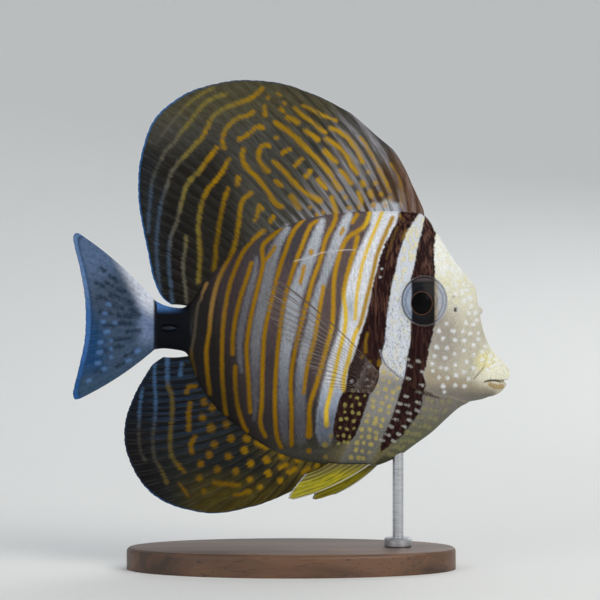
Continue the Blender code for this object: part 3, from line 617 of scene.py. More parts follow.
# The foremost line, along the rear edge of the dark shoulder bar
SHOULDER_RIM = (
    (392.7, 217.8), (384.5, 235.6), (376.8, 256), (371.7, 278.5), (366.6, 299), (360, 325.7),
)
FLANK_LINES = [
    (1.0, ((206.5, 283.5, 1.5), (203.4, 290, 1.2), (200.3, 299.4), (197.8, 305.8), (195.8, 320.5),
        (194.2, 337), (191.4, 350.5), (192, 359.4, 1.2), (193.5, 366, 1.7), (194.6, 376, 1.8))),
    (YELLOW_HALF, ((234, 250), (226.5, 263), (218.8, 279), (214.3, 293.7), (211, 312),
        (209.2, 332), (206.4, 351), (207.6, 375.5), (209.9, 393.4))),
    (YELLOW_HALF, ((264, 231, 1.4), (250, 243), (240.5, 257), (230.6, 282), (225.8, 304.5),
        (222.6, 332), (222, 369), (223.9, 398), (226.1, 413.8))),
    (YELLOW_HALF, ((251.5, 263), (246.9, 277.8), (239.8, 299.4), (235.4, 319.2), (232.8, 338.3),
        (232.6, 354))),
    (YELLOW_HALF, ((235.4, 366.6), (235.1, 382), (237.6, 406), (243.7, 425.3), (247, 431))),
    (YELLOW_HALF, ((293, 214, 1.4), (280.4, 228.5), (270.2, 237.7), (263, 244.8), (262, 253),
        (263.1, 265), (257.1, 290.5), (251.3, 314.7), (247.5, 338.3), (246.6, 351), (248.5, 382),
        (250.1, 411.9))),
    (1.5, ((274.9, 246.8), (271.2, 253), (264.5, 261))),
    (YELLOW_HALF, ((304.4, 218.3, 1.4), (292.7, 232.6), (284.5, 254), (277.2, 277),
        (270.5, 305.8), (264.7, 332), (262.5, 369), (261.9, 401), (260.3, 423.3), (265.4, 436.1))),
    (YELLOW_HALF, ((317.1, 220.8, 1.5), (310, 226.4), (300.8, 248.9), (291.6, 274.4),
        (284.4, 301.7), (279.2, 335), (276.3, 368), (274.9, 401), (276.2, 433), (281, 447))),
    (YELLOW_HALF, ((335.5, 205), (336, 213), (334.5, 222.3), (325.8, 238.7), (320.2, 260),
        (312, 282.5), (306.8, 303), (299.2, 331.4), (292.2, 365), (290.7, 387.4), (291.6, 411.3),
        (291.4, 445))),
    (1.9, ((311.4, 251), (311.2, 253))),
    (1.6, ((304.2, 266), (302.6, 274), (300.3, 283))),
    (1.8, ((323.5, 286.5), (318.9, 314), (314, 341), (307.4, 366), (303.6, 393, 1.4))),
    (1.6, ((357, 214.7), (352.3, 222.3))),
    (1.9, ((369.7, 211), (368.2, 218.3), (363, 227.4), (354.9, 232.6), (347.8, 237.7),
        (342.7, 245.8), (338.6, 258), (334.1, 279.5), (332.6, 321), (327.1, 345), (318, 379),
        (309.8, 405.6), (309.3, 421, 2.2), (308.8, 435.2, 3.2))),
    (1.9, ((357.4, 236.5), (354.9, 248), (348.8, 268.3), (343.7, 292.8), (345.7, 312.3),
        (344.7, 329.5), (338.5, 355), (330.4, 393), (326.5, 409.4), (326.5, 425.7, 2.2))),
    (2.4, ((309, 451),)), (2.4, ((325, 444.8),)), (1.9, ((325.6, 457.2),)), (1.7, ((331, 436),)),
    (1.5, ((385, 205), (377.3, 224.4), (370.2, 241.7), (363, 262), (358.5, 284.6), (356.3, 300),
        (355.2, 319))),
    (1.9, (*SHOULDER_RIM, (355.2, 333.3), (349.5, 356), (343.8, 377.8), (343.8, 390.3))),
    (1.5, ((343, 229), (341, 234))),
    (0.8, ((397.8, 227.4), (391.6, 242.8), (386.5, 258))),
    (0.8, ((399.8, 215), (402.9, 221))),
    (0.8, ((405.9, 229.5), (401.8, 238.7))),
    (0.9, ((367.5, 333), (365.6, 342), (365.5, 352, 1.3))), (1.3, ((362, 357),)),
    (1.3, ((369.5, 361.4), (369.4, 363))), (1.2, ((379, 361), (378.6, 365))),
]

# %% [markdown]
# Between the lines the flank is purple-brown, darkest at the tail end. Silver strips lie on it, so
# every yellow line keeps a dark seam beside it, and the strips brighten towards the shoulder,
# where they join in one white field.

# %% Silver strips of the flank, and the white field behind the shoulder bar
SILVER_STRIPS = (
    (3.0, ((256.5, 258, 1.2), (254, 276, 2.4), (248.3, 296, 3.1), (243.3, 317, 3.2),
        (240, 338, 2.8), (239.8, 355, 2.4), (241.7, 372, 1.2))),
    (5.0, ((287, 229, 3.0), (277, 245, 4.5), (271.5, 262, 5.2), (265.8, 290, 5.4),
        (260, 315, 5.4), (256, 338, 5.2), (255, 355, 4.8), (255.4, 382, 4.0), (255.7, 405, 2.6),
        (254, 420, 1.0))),
    (6.5, ((322, 221, 3.0), (317, 236, 5.0), (311.7, 251.6, 6.0), (301.7, 277.5, 7.0),
        (293.5, 303, 7.2), (289.5, 330, 6.8), (284.5, 355, 5.6), (283.3, 389, 5.2),
        (283.7, 424, 4.6), (286, 443, 3.0))),
    (4.5, ((349, 215, 3.5), (342.7, 229, 5.0), (333.2, 251.6, 5.0), (324.2, 277.5, 4.2),
        (315.5, 303, 4.0), (310, 330, 4.4), (303.6, 355, 4.7), (300.8, 380, 5.0), (300, 406, 5.4),
        (300.5, 424, 6.0), (301, 441, 5.0))),
)
SHOULDER_WHITE = (
    (373, 205), (370, 225.8), (357.5, 251.6), (347.5, 277.5), (341.7, 303), (339, 329),
    (333, 346), (327, 363.5), (323, 380.7), (319.4, 398), (316.8, 415), (316, 432), (320, 446),
    (330, 446), (333, 429), (340, 398), (346, 388), (350, 368), (358, 345), (364.5, 327),
    (371, 300), (376, 278), (384.5, 254), (394.5, 232), (399, 213), (400, 205),
)
STALK_EDGE = 191.0
BELLY_EDGE = 449.0

# %% Bars of the head and shoulder
SHOULDER_BAR = (
    (401, 211), (397.5, 222), (391.5, 232), (385.5, 243), (380.8, 254), (377.6, 266), (374.6, 278),
    (372, 290), (370.3, 300), (367, 316), (363.3, 327), (360, 335), (358, 345), (354, 357),
    (348.5, 368), (346, 388), (340, 398), (336, 413), (333, 429), (336, 441), (344, 446),
    (352, 441), (356, 434), (360.6, 421.8), (365.2, 408), (369.8, 395), (375.2, 381), (379, 372),
    (381.6, 362), (382, 352), (385, 340), (386.9, 314.8), (389.4, 300), (390.6, 289.7),
    (392.7, 280.5), (395.7, 270.3), (397.8, 258), (401.8, 245.8), (405.9, 233.6), (412, 223.4),
    (419.2, 213.2), (418, 205), (402, 205),
)
PALE_BAR = (
    (419.2, 213.2), (412, 223.4), (405.9, 233.6), (401.8, 245.8), (397.8, 258), (395.7, 270.3),
    (392.7, 280.5), (389.4, 300), (386.9, 314.8), (385, 340), (381, 353), (383.6, 360.6),
    (388.2, 367.4), (395, 373.6), (403.1, 379.7), (404.2, 378), (407.3, 356.7), (410.4, 343),
    (411, 327.7), (410, 310), (409, 295), (410.6, 279.6), (413.7, 269), (416, 256.6),
    (418.3, 243.6), (422, 230.6), (425.2, 219), (425, 208),
)
EYE_BAR = (
    (425.2, 215), (430.5, 222), (436.2, 233), (434, 246), (434, 258), (435, 270.4), (434.5, 290),
    (435.5, 310), (434.8, 325.4), (431.8, 336.8), (428.7, 350.6), (425.7, 367.4), (423.4, 373.6),
    (425.7, 385), (422.6, 394), (422, 404), (418.5, 413.5), (411, 424), (402.7, 435.4),
    (395, 442), (391, 449.7), (384, 458), (376, 462), (371, 457), (378.8, 443), (384.5, 433.5),
    (391.5, 419), (397.3, 402), (401.2, 389), (403.1, 379.7), (404.2, 378), (407.3, 356.7),
    (410.4, 343), (411, 327.7), (410, 310), (409, 295), (410.6, 279.6), (413.7, 269),
    (416, 256.6), (418.3, 243.6), (422, 230.6),
)

# %% White dots of the face, and a painted highlight along the gill cover's edge
FACE_DOTS = (
    (455.5, 294), (469.6, 298), (464.2, 301), (471.3, 306.6), (468.8, 313.6), (475.4, 312.8),
    (446.4, 323.6), (438.9, 331), (453.4, 331), (463, 331.5), (470.4, 333.5), (478.7, 333),
    (466.3, 323), (473.3, 324.4), (476.7, 320), (443, 338.5), (455, 340), (464, 340.6),
    (478.3, 339), (473.7, 344.7), (485.4, 346.4), (447, 348), (463.8, 350.5),
    (454.7, 354), (474, 355), (482, 351.8), (490.3, 356.3), (434.4, 356), (445, 358),
    (466.7, 361.7), (482.5, 360), (489.5, 361.7), (496, 359.7), (498.6, 363.8), (492.8, 366.3),
    (432.3, 363.8), (455.5, 364.6), (441, 367), (446.4, 368.8), (473.3, 368), (432.7, 370.8),
    (463.8, 372), (487.8, 370), (456, 375.4), (439, 377.5), (447.6, 378.3), (468.8, 379),
    (455, 385.4), (464.6, 386.2), (443, 386.2), (444.7, 392), (454.2, 270.4), (456.5, 278),
    (460.4, 276.5), (456.5, 285), (464.2, 284.2), (447.3, 288), (466.5, 290.3), (462, 291.8),
    (470, 298),
)
# The dots differ a little in size. The seed is fixed, so every run draws the same ones.
draw = np.random.default_rng(7)
WHITE_DOTS_AND_GILL_HIGHLIGHT = [(float(draw.uniform(1.6, 2.2)), (dot,)) for dot in FACE_DOTS]
WHITE_DOTS_AND_GILL_HIGHLIGHT += [(2.4, ((436.8, 347),)), (0.9, ((381.9, 268.8),)), (0.9, ((380.4, 277.4),))]
# Painted highlight: a thin white line along the raised rear edge of the gill cover
WHITE_DOTS_AND_GILL_HIGHLIGHT += [(0.9, ((380.5, 350.9), (384, 361.2), (389.7, 369.9), (396, 375.6), (402.9, 379.6)))]
WHITE_DOTS_AND_GILL_HIGHLIGHT += [(1.2, (dot,)) for dot in ((352, 381), (361, 386), (365, 374), (372, 388))]
BAR_DOTS = [(1.3, ((u - 1.5, v - 0.5), (u + 1.5, v + 0.7))) for u, v in (
    (407.9, 378.4), (421.3, 384.6), (406, 396.3), (418.6, 391.8), (399.8, 403.4), (407, 405.2),
    (418, 402.5), (398, 411.4), (408.8, 412.9), (416.8, 410.5), (395.7, 419.5), (409.6, 420.4),
    (390.9, 426.6), (404.3, 426.6), (387.3, 434.6), (398.6, 433.8), (382, 440), (393.6, 440.9),
    (407, 359), (410, 366), (418, 361), (422, 372),
)]

# %% Yellow dots of the throat and the shoulder patch
THROAT_DOTS = dots_between(
    ((381, 370), (375, 385), (367, 408), (357, 434), (349, 457)),
    ((402, 381), (398, 396), (391, 414), (378, 440), (368, 458)),
    rows=13, columns=3, radius=1.9, seed=12,
)
PATCH_DOTS = dots_between(
    ((349, 390), (342, 402), (338, 416), (335, 432), (336, 443)),
    ((371, 390), (365, 404), (360, 419), (355, 433), (350, 444)),
    rows=8, columns=3, radius=1.55, seed=13,
)
BREAST_DOTS = dots_between(
    ((424, 400), (414, 420), (402, 437), (388, 455)),
    ((455, 402), (438, 420), (420, 437), (396, 455)),
    rows=8, columns=4, radius=1.9, seed=14,
)

# %% The lateral line, a pale arc of pores above the pectoral fin
LATERAL_LINE = (
    (294.7, 261), (304, 258.6), (315, 255.5), (321, 253), (331.4, 252), (341.6, 250.4),
    (357, 250.4), (364, 254), (371.2, 259),
)
print("flank strokes:", len(FLANK_LINES), "face dots:", len(WHITE_DOTS_AND_GILL_HIGHLIGHT))

# %% Painted shade in the creases of the mouth, the nostrils and the gill cover, and the lower lip
CREASE_SHADES = (
    (0.8, ((486, 381.6), (494, 380.8), (501.5, 381.8))),
    (0.9, ((404.5, 381), (412, 386.5), (421, 391), (432, 393.6))),
    (1.1, ((455.2, 308.6), (455.4, 311))),
    (0.6, ((453.8, 296.6),)),
    (0.45, ((484, 367.5), (479, 373.5), (474.5, 379))),
)
LOWER_LIP = [(2.2, ((490, 384.5), (497, 386.5), (501.5, 386.2)))]

# %% [markdown]
# The ground colours change slowly over the body: silver on the flank, white behind the shoulder
# bar, beige on the cheek, cream on the brow and lips, grey on the throat, navy on the tail stalk.
# They are laid as soft areas, each over the one before. Among them is painted shade on the face
# towards the chin and, for the most part, on the flank towards the tail, and a painted highlight
# along the top of the tail stalk. The seams between the silver and the lines themselves have
# colours that change from tail to head in the same way.

# %% Areas of the head
THROAT = (
    (380, 360), (388.2, 367.4), (395, 373.6), (403.1, 379.7), (401.2, 389), (397.3, 402),
    (391.5, 419), (384.5, 433.5), (378.8, 443), (371, 457), (366, 475), (335, 475), (345, 455),
    (355.3, 434.8), (360.6, 421.8), (365.2, 408), (369.8, 395), (375.2, 381),
)
FACE = (
    (428, 212), (434, 235), (433, 270), (434.8, 325.4), (428.7, 350.6), (424, 373.6),
    (425.7, 388), (437, 396), (450, 397), (470, 403), (530, 410), (530, 200),
)
BREAST = (
    (422, 385), (425.7, 388), (437, 396), (450, 397), (472, 402), (470, 425), (400, 480),
    (372, 480), (376, 462), (391, 449.7), (402.7, 435.4), (418.5, 413.5), (422, 404),
)
# On the head side of this line the paint is the ground's own, with no seams between strips
HEAD_SIDE = ((412, 200), (396, 240), (382, 290), (372, 345), (362, 385), (345, 430), (338, 470))


# %% Ground colours
def body_ground(u, v):
    """The paint under all marks, and the silver of the strips."""
    white = ramp(area_distance(u, v, SHOULDER_WHITE), 3, -3)
    belly = ramp(v, 428, 454)
    fading = 1.5 + 4.0 * ramp(v, 422, 456)
    throat = ramp(area_distance(u, v, THROAT), fading, -fading)
    breast = ramp(area_distance(u, v, BREAST), 2, -2)
    face = ramp(area_distance(u, v, FACE), 1.5, -1.5)
    stalk = ramp(u + 2 * np.sin(v * 0.12), STALK_EDGE + 7, STALK_EDGE)
    return blended(u, "#9DA1A9", (
        ("#BCC1C8", ramp(v, 275, 215) * ramp(u, 285, 330)),
        # Darker towards the tail: mostly painted shade, where the light falls off.
        ("#747579", ramp(u, 292, 270)),
        ("#5E5E64", ramp(u, 262, 244)),
        ("#6C7078", ramp(v, 345, 390)),
        ("#504F54", ramp(v, 380, 425) + ramp(v, 340, 385) * ramp(u, 275, 255)),
        ("#D8DBE2", white),
        ("#B3BAC6", white * ramp(np.hypot((u - 350) / 14, (v - 308) / 22), 1, 0)),
        ("#98A3B6", white * ramp(v, 375, 402)),
        ("#626A78", white * ramp(v, 396, 424)),
        ("#47473F", belly),
        ("#746D4E", belly * ramp(u, 318, 352)),
        ("#8D8A86", throat),
        ("#B9B3A6", throat * ramp(v, 384, 368)),
        ("#6A6B66", throat * ramp(v, 400, 445)),
        ("#79746C", breast),
        ("#62634F", breast * ramp(v, 403, 440)),
        ("#45412D", breast * ramp(v, 445, 466)),
        ("#BFB9A6", face),
        # The face grows paler upwards, partly from its cream paint and partly as painted light from
        # above.
        ("#D8D7C6", face * ramp(v, 335, 290)),
        ("#EAEDE8", face * ramp(v, 292, 262)),
        ("#E8E6CF", face * ramp(u + 0.35 * (v - 376), 466, 490)),
        # Painted shade: the cheek, the lower jaw and the chin are darkened, where less light from
        # above reaches them.
        ("#A29B8F", face * ramp(np.hypot(u - 441, (v - 340) * 0.55), 26, 6)),
        ("#A39882", face * ramp(v - 0.3 * (u - 480), 376, 390)),
        ("#7C766C", face * ramp(v - 0.12 * (u - 480), 385, 397)),
        ("#C9C2AC", face * ramp(u, 492, 500) * ramp(v, 378, 384)),
        ("#E3DA9C", 0.8 * face * ramp(np.hypot(u - 485, v - 361), 15, 3)),
        ("#04070F", stalk),
        # Painted highlight: a blue gleam along the top edge of the tail stalk
        ("#446FA8", stalk * ramp(v, 315, 306) * ramp(u, 187, 166)),
        ("#8C9BB6", ramp(u, 156.5, 153.5)),
    ))


# %% Colours of the seams and of the yellow lines
def seam_colour(u, v):
    """The purple-brown between the silver strips."""
    return blended(u, "#514547", (
        ("#5C4F4E", ramp(u, 305, 330)),
        ("#433E40", ramp(v, 275, 250) * ramp(u, 320, 295)),
        ("#3D3435", ramp(v, 325, 365) * ramp(u, 330, 290)),
        ("#312D2C", ramp(v, 375, 420)),
        ("#382F2F", ramp(u, 262, 232)),
        ("#3B3A32", ramp(v, 428, 450) * ramp(u, 250, 280)),
        ("#5C573F", ramp(v, 436, 452) * ramp(u, 318, 345)),
        ("#1B1817", ramp(u + 0.25 * (320 - v), 236, 204)),
    ))


def flank_line_colour(u, v):
    """Gold on the flank, lemon at the shoulder, and a dull tan on the line nearest the tail."""
    lemon = ramp(u - np.interp(v, (215, 250, 330, 430), (368, 358, 333, 317)), -5, 5)
    on_bar = area_distance(u, v, SHOULDER_BAR)
    rim = ramp(u - 0.10 * (300 - v) * (v < 300), 204, 199)
    return blended(u, "#926B00", (
        ("#B0851A", ramp(u - 0.15 * (v - 250), 278, 312)),
        ("#7E5B00", ramp(u, 262, 232)),
        ("#8A6A38", ramp(u, 232, 208) * ramp(v, 345, 300)),
        ("#5E4500", ramp(v, 350, 410) * ramp(u, 268, 228)),
        ("#835F02", ramp(v, 395, 430)),
        ("#DFBB33", lemon),
        ("#A9852A", ramp(line_side(u, v, SHOULDER_RIM), -5, -2) * ramp(v, 342, 334)),
        ("#5E4420", ramp(on_bar, 0, -3) * ramp(v, 322, 300)),
        ("#80600A", ramp(on_bar, 1, -1) * ramp(v, 322, 334)),
        ("#85743A", ramp(v, 415, 432) * ramp(u, 312, 322)),
        ("#4A4336", rim * ramp(v, 362, 345)),
        ("#4A3A12", rim * ramp(v, 345, 362)),
    ))


# %% Colours and distances kept on the skin
def silver_distance(u, v):
    """Grid steps to the silver strips and the white field behind the shoulder bar."""
    return np.minimum(stroke_distance(u, v, SILVER_STRIPS), area_distance(u, v, SHOULDER_WHITE))


def near_flank(points):
    """Grid places of the points, with the far side mirrored onto the near one."""
    return seen_at(np.stack([points[:, 0], -np.abs(points[:, 1]), points[:, 2]], axis=1))


u, v = near_flank(smooth_body)
for name, colours in (
    ("ground", body_ground(u, v)), ("seam", seam_colour(u, v)),
    ("line_colour", flank_line_colour(u, v)),
):
    keep_colour(skin_mesh, name, colours)
# Tail stalk, belly and head count as silver too, because the ground's own paint shows there
silver = silver_distance(u, v)
for edge in (u - STALK_EDGE, BELLY_EDGE - v, -line_side(u, v, HEAD_SIDE)):
    silver = np.minimum(silver, np.clip(edge, -REACH, REACH))
on_face = ramp(area_distance(u, v, FACE), 1.5, -1.5)
on_pale_bar = ramp(area_distance(u, v, PALE_BAR), 1.5, -1.5)
skin_values = {
    "silver": silver,
    "bar": np.minimum(area_distance(u, v, SHOULDER_BAR), area_distance(u, v, EYE_BAR))
    + 8 * ramp(v, 434, 460),
    "streaked": 0.35 + 0.65 * ramp(v, 345, 300),
    "grain_and_sheen": 1.0 - 0.85 * on_face - 0.5 * ramp(area_distance(u, v, THROAT), 2, -2),
    "pale_bar": area_distance(u, v, PALE_BAR),
    "creamy": 0.55 * on_face * ramp(v, 322, 285) + on_pale_bar * (0.45 + 0.55 * ramp(v, 300, 270)),
    "specked": on_pale_bar * ramp(v, 285, 310) + 0.5 * on_face * ramp(v, 300, 330),
    "nostril": np.hypot(u - NOSTRILS[0][2][0] - 0.6, (v - NOSTRILS[0][2][1]) * 0.85),
    "gill": np.clip(np.abs(line_side(u, v, GILL_EDGE)), 0, REACH) + REACH * ((u > 440) | (v < 340)),
    "eye_ring": eye_ring,
    "above_eye": (u - 424.0) / 11.0,
}
for name, strokes in (
    ("yellow", FLANK_LINES), ("white_dots_and_gill_highlight", WHITE_DOTS_AND_GILL_HIGHLIGHT), ("bar_dots", BAR_DOTS),
    ("throat_dots", THROAT_DOTS), ("patch_dots", PATCH_DOTS), ("breast_dots", BREAST_DOTS),
    ("crease_shade", CREASE_SHADES), ("lip", LOWER_LIP), ("lateral", [(0.0, LATERAL_LINE)]),
):
    skin_values[name] = stroke_distance(u, v, strokes)
for name, values in skin_values.items():
    keep_value(skin_mesh, name, values)
print("skin attributes:", ", ".join(skin_values))

# %% [markdown]
# ## Paint of the skin
# A tang's skin is covered by tiny scales that feel like fine sandpaper, and a museum model is
# airbrushed and sealed with a matt varnish. The coats follow the order named above. The scales
# are 0.2 to 0.3 mm across on a fish of this size. They are drawn twice as coarse, as a Voronoi
# bump, because they would not show at all otherwise.

# %% Fish skin: acrylic airbrush paint under matt varnish
# The matt varnish mirrors little light, so the dark bars stay deep and the sheen stays broad.
SCALE_MM = 0.5
EDGE_WAVER_MM = 1.1
BAR_STREAK_MM = 1.0
SCRIBBLE_MM = 2.6
SPECK_MM = 0.45
BLOTCH_MM = 1.3
BRISTLE_MM = 0.55
DIMPLE_MM = 1.6
skin_paint, add, shader = new_material(
    "matt_varnished_fish_skin", Roughness=0.48, Specular_IOR_Level=0.08
)
where = add("TexCoord", take="Object")
waver = add("TexNoise", {"Vector": where, "Scale": 1 / (EDGE_WAVER_MM * MM), "Detail": 4.0})
waver = add("MapRange", span(waver, 0.3, 0.7, -0.8, 0.8))
slight = add("Math", {0: waver, 1: 0.5}, operation="MULTIPLY")
specks = add("TexNoise", {"Vector": where, "Scale": 1 / (SPECK_MM * MM), "Detail": 4.0})
upright = add("Mapping", {"Vector": where, "Scale": (1.0, 1.0, 0.22)})
bristles = add("TexNoise", {"Vector": upright, "Scale": 1 / (BRISTLE_MM * MM), "Detail": 4.0})
brushed = add("MapRange", span(bristles, 0.28, 0.72, 0.76, 1.20))

colour = airbrush(add, add("Attribute", take="Color", attribute_name="seam"), [
    (add("Attribute", take="Color", attribute_name="ground"),
     mark_mask(add, "silver", 2.6, waver), 1.0),
])
# On the skin this share sets where the streaky grain shows, and on the sail fins where the painted
# sheen shows.
grain_and_sheen = add("Attribute", attribute_name="grain_and_sheen")
colour = add(
    "Mix", {"Factor": grain_and_sheen, "A": colour, "B": brushed}, data_type="RGBA", blend_type="MULTIPLY",
)

# %% Pale bar and brow: white with cream scribbles and blue-grey blotches
slanted = add("Mapping", {"Vector": where, "Rotation": (0.0, 0.5, 0.0), "Scale": (1.0, 1.0, 0.5)})
scribble = add("TexNoise", {
    "Vector": slanted, "Scale": 1 / (SCRIBBLE_MM * MM), "Detail": 1.5, "Distortion": 1.6,
})
scribble = add("MapRange", span(scribble, 0.50, 0.57))
creamy = add("Attribute", attribute_name="creamy")
scribble = add("Math", {0: scribble, 1: creamy}, operation="MULTIPLY")
grey = add("TexNoise", {
    "Vector": slanted, "Scale": 1 / (BLOTCH_MM * MM), "Detail": 2.0, "Distortion": 2.0,
})
grey = add("MapRange", span(grey, 0.54, 0.61))
specked = add("Attribute", attribute_name="specked")
grey = add("Math", {0: grey, 1: specked}, operation="MULTIPLY")
colour = airbrush(add, colour, [
    ("#CFD4DD", mark_mask(add, "pale_bar", 0.8, waver), 1.0),
    ("#E3D79E", scribble, 0.62),
    ("#83878E", grey, 0.55),
])

# %% Dark bars with brown streaks, then lines and dots, with a painted highlight and a painted shadow along the gill cover and painted shade in the creases
streaks = add(
    "TexNoise",
    {"Vector": add("Mapping", {"Vector": where, "Scale": (1.0, 1.0, 0.16)}),
     "Scale": 1 / (BAR_STREAK_MM * MM), "Detail": 4.0, "Distortion": 0.3},
)
streaks = add("MapRange", span(streaks, 0.48, 0.66))
streaked = add("Attribute", attribute_name="streaked")
streaks = add("Math", {0: streaks, 1: streaked}, operation="MULTIPLY")
bar_colour = airbrush(add, "#210C0C", [("#5E4034", streaks, 0.9)])
nostril = add("Attribute", attribute_name="nostril")
lobe = add("MapRange", span(nostril, 4.4, 3.2))
# The pale lateral line, and the painted shadow along the gill cover's edge
lateral, gill = [
    add("MapRange", span(add("Attribute", attribute_name=name), *edge))
    for name, edge in (("lateral", (1.3, 0.3)), ("gill", (1.5, 0.4)))
]
colour = airbrush(add, colour, [
    (bar_colour, mark_mask(add, "bar", 1.0, waver), 1.0),
    (add("Attribute", take="Color", attribute_name="line_colour"),
     mark_mask(add, "yellow", 1.7, slight, grow=0.25), 1.0),
    ("#BCAA58", mark_mask(add, "throat_dots", 1.3, waver), 0.8),
    ("#988E50", mark_mask(add, "patch_dots", 1.0, waver), 0.9),
    ("#8C8858", mark_mask(add, "breast_dots", 1.3, waver), 0.6),
    ("#A3A19A", mark_mask(add, "bar_dots", 1.0, waver), 0.9),
    ("#CFD2D4", lobe, 0.35),
    # White dots of the face, and the painted highlight along the gill cover's edge
    ("#E4E7EC", mark_mask(add, "white_dots_and_gill_highlight", 1.5, waver), 0.8),
    ("#DDDDD6", lateral, 0.5),
    # Painted shadow: a dark line under the rear edge of the gill cover
    ("#1C1213", gill, 0.7),
    ("#A08450", mark_mask(add, "lip", 1.0), 0.8),
    # Painted shade in the creases of the mouth, the nostrils and the gill cover
    ("#3F2C1C", mark_mask(add, "crease_shade", 0.7), 0.85),
])

# %% Ring of skin round the eye, darker where the eye bar crosses it
ring = add("Attribute", attribute_name="eye_ring")
ring_paint = add("ValToRGB", {"Fac": ring}, "Color")
stops = ring_paint.node.color_ramp
stops.elements[0].position = 0.90
stops.elements[0].color = linear("#07080C")
stops.elements[1].position = 0.94
stops.elements[1].color = linear("#14161C")
for position, paint_hex in ((0.965, "#4E5158"), (0.99, "#8A8C92")):
    stops.elements.new(position).color = linear(paint_hex)
above_eye = add("Attribute", attribute_name="above_eye")
crossing = add("Math", {0: above_eye}, operation="ABSOLUTE")
crossing = add("MapRange", span(crossing, 1.15, 0.85))
front_half = add("MapRange", span(above_eye, 0.7, 1.4))
ring_colour = airbrush(add, ring_paint, [
    ("#A4AAB8", front_half, 0.75), ("#3A3030", crossing, 0.8),
])
ring_mask = add("MapRange", span(ring, 1.02, 0.995))
colour = airbrush(add, colour, [(ring_colour, ring_mask, 0.9)])
grain = add("MapRange", span(specks, 0.28, 0.72, 0.78, 1.14))
colour = add(
    "Mix", {"Factor": 1.0, "A": colour, "B": grain}, data_type="RGBA", blend_type="MULTIPLY",
)

# %% Relief of scales and small dimples
scales = add("TexVoronoi", {"Vector": where, "Scale": 1 / (SCALE_MM * MM)})
fine_bump = add("Bump", {"Height": scales, "Strength": 0.35, "Distance": 0.06 * MM})
folds = add("Bump", {
    "Height": scribble, "Strength": 0.8, "Distance": 0.2 * MM, "Normal": fine_bump,
})
dimples = add("TexNoise", {"Vector": where, "Scale": 1 / (DIMPLE_MM * MM), "Detail": 3.0})
skin_bump = add("Bump", {
    "Height": dimples, "Strength": 0.4, "Distance": 0.24 * MM, "Normal": folds,
})
wire(shader, Base_Color=colour, Normal=skin_bump)

skin_mesh.shade_smooth()
skin_mesh.materials.append(skin_paint)
fish_skin = into_scene("fish_skin", skin_mesh)
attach(fish_skin, "root")
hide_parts("head", "torso", "tail_stalk")

# %% [markdown]
# ## Fins
# A fin is a thin membrane held by rays: stout single spines in front, then soft rays that fork
# towards the edge. One way is a sheet with tubes laid on it, but real rays lie inside the skin,
# so here the membrane itself swells over each ray. Each fin starts as a flat grid. Extruding its
# faces makes a second layer joined round the rim, so the fin is closed and has a true thickness.
# Every grid point is then sent to its place: which ray it is near, and how far out it lies.

# %% Guide rays, front to rear: root u, v and tip u, v on the drawing grid
DORSAL_GUIDES = (
    (423, 214, 419.5, 201.5), (418.5, 212.8, 405.5, 173), (412, 211.5, 392, 147.8),
    (404, 210.9, 352, 113.5), (395, 210.6, 322, 97.2), (376, 210.3, 283, 83.6),
    (357, 211, 247, 79.7), (339, 212.2, 223, 81.8), (320, 215.2, 193, 90),
    (303, 219.2, 174, 100.5), (285, 226, 158, 114), (270, 232.5, 148, 131),
    (254, 240, 139.8, 160), (240, 248.5, 137.8, 182), (228, 258, 138.6, 204),
    (216, 270, 142.6, 228), (205, 283, 147.5, 252), (196, 294, 152.5, 276.5),
    (189, 302, 161, 296), (185.5, 306, 171, 304.5),
)
ANAL_GUIDES = (
    (326, 465.5, 318, 471.5), (318, 464.5, 301, 485.5), (310, 463.3, 287, 493.6),
    (302, 461.5, 270, 501), (294, 459.2, 251, 507.2), (285, 456, 214, 513.6),
    (275, 452.5, 177, 507.2), (263, 445.5, 153, 495), (251, 438, 137, 476.5),
    (238, 427.5, 126.5, 453), (228, 419, 123.8, 434), (218, 410.5, 126, 416.5),
    (207, 397, 131, 402.5), (199, 386, 137, 389), (193.5, 373, 145, 375.5),
    (190, 361, 152.5, 364.5), (187.5, 355.5, 163, 357),
)
CAUDAL_GUIDES = (
    (154.5, 300.5, 78.5, 232.9), (154.5, 301.6, 74.6, 233.2), (154.5, 303.2, 72.9, 237.6),
    (154.5, 306, 74.6, 248), (154.5, 311.5, 79.6, 268), (154.5, 318.5, 84.2, 294),
    (154.5, 325, 85.4, 318), (154.5, 332, 84, 342), (154.5, 339, 78.8, 367),
    (154.5, 344.5, 73.6, 388), (154.5, 347.2, 72.7, 395.5), (154.5, 348.3, 74.6, 399.4),
    (154.5, 349, 79.5, 399),
)
PECTORAL_GUIDES = (
    (376.5, 370, 279, 279.6), (376.2, 372.5, 267, 291), (375.8, 375, 266.5, 305),
    (375, 378, 274, 322), (374, 381, 287, 339), (372.5, 384.5, 301, 356),
    (371, 387.5, 314, 373), (369, 390.5, 328, 384.5), (367, 393, 343, 391),
)
PELVIC_GUIDES = {
    "right": (
        (366.5, 465.5, 293.5, 498.2), (362, 465.5, 288.5, 497.6), (353, 465.5, 289, 493.5),
        (342, 465.5, 295, 485), (325, 464.5, 305, 473.5),
    ),
    "left": (
        (376, 466, 336, 495.2), (372, 466, 314.5, 501.2), (368, 466, 313, 496.5),
        (363, 466, 319, 486), (357, 466, 330, 474),
    ),
}

# %% Sizes of membrane and rays
# Thicknesses and lengths are in metres. Widths across the rays count in spaces between them.
MEMBRANE_HALF = 0.17 * MM
TIP_HALF = 0.07 * MM
RIDGE_RISE = 0.14 * MM
RIDGE_WIDTH = 0.16
RIDGE_AT_TIP = 0.22
SPINE_STOUTNESS = 1.5
FORK_START = 0.35
FORK_SPREAD = 0.17
SHEATH_HALF = 0.9 * MM
SHEATH_LENGTH = 3.5 * MM
SHORT_RAY = 0.02


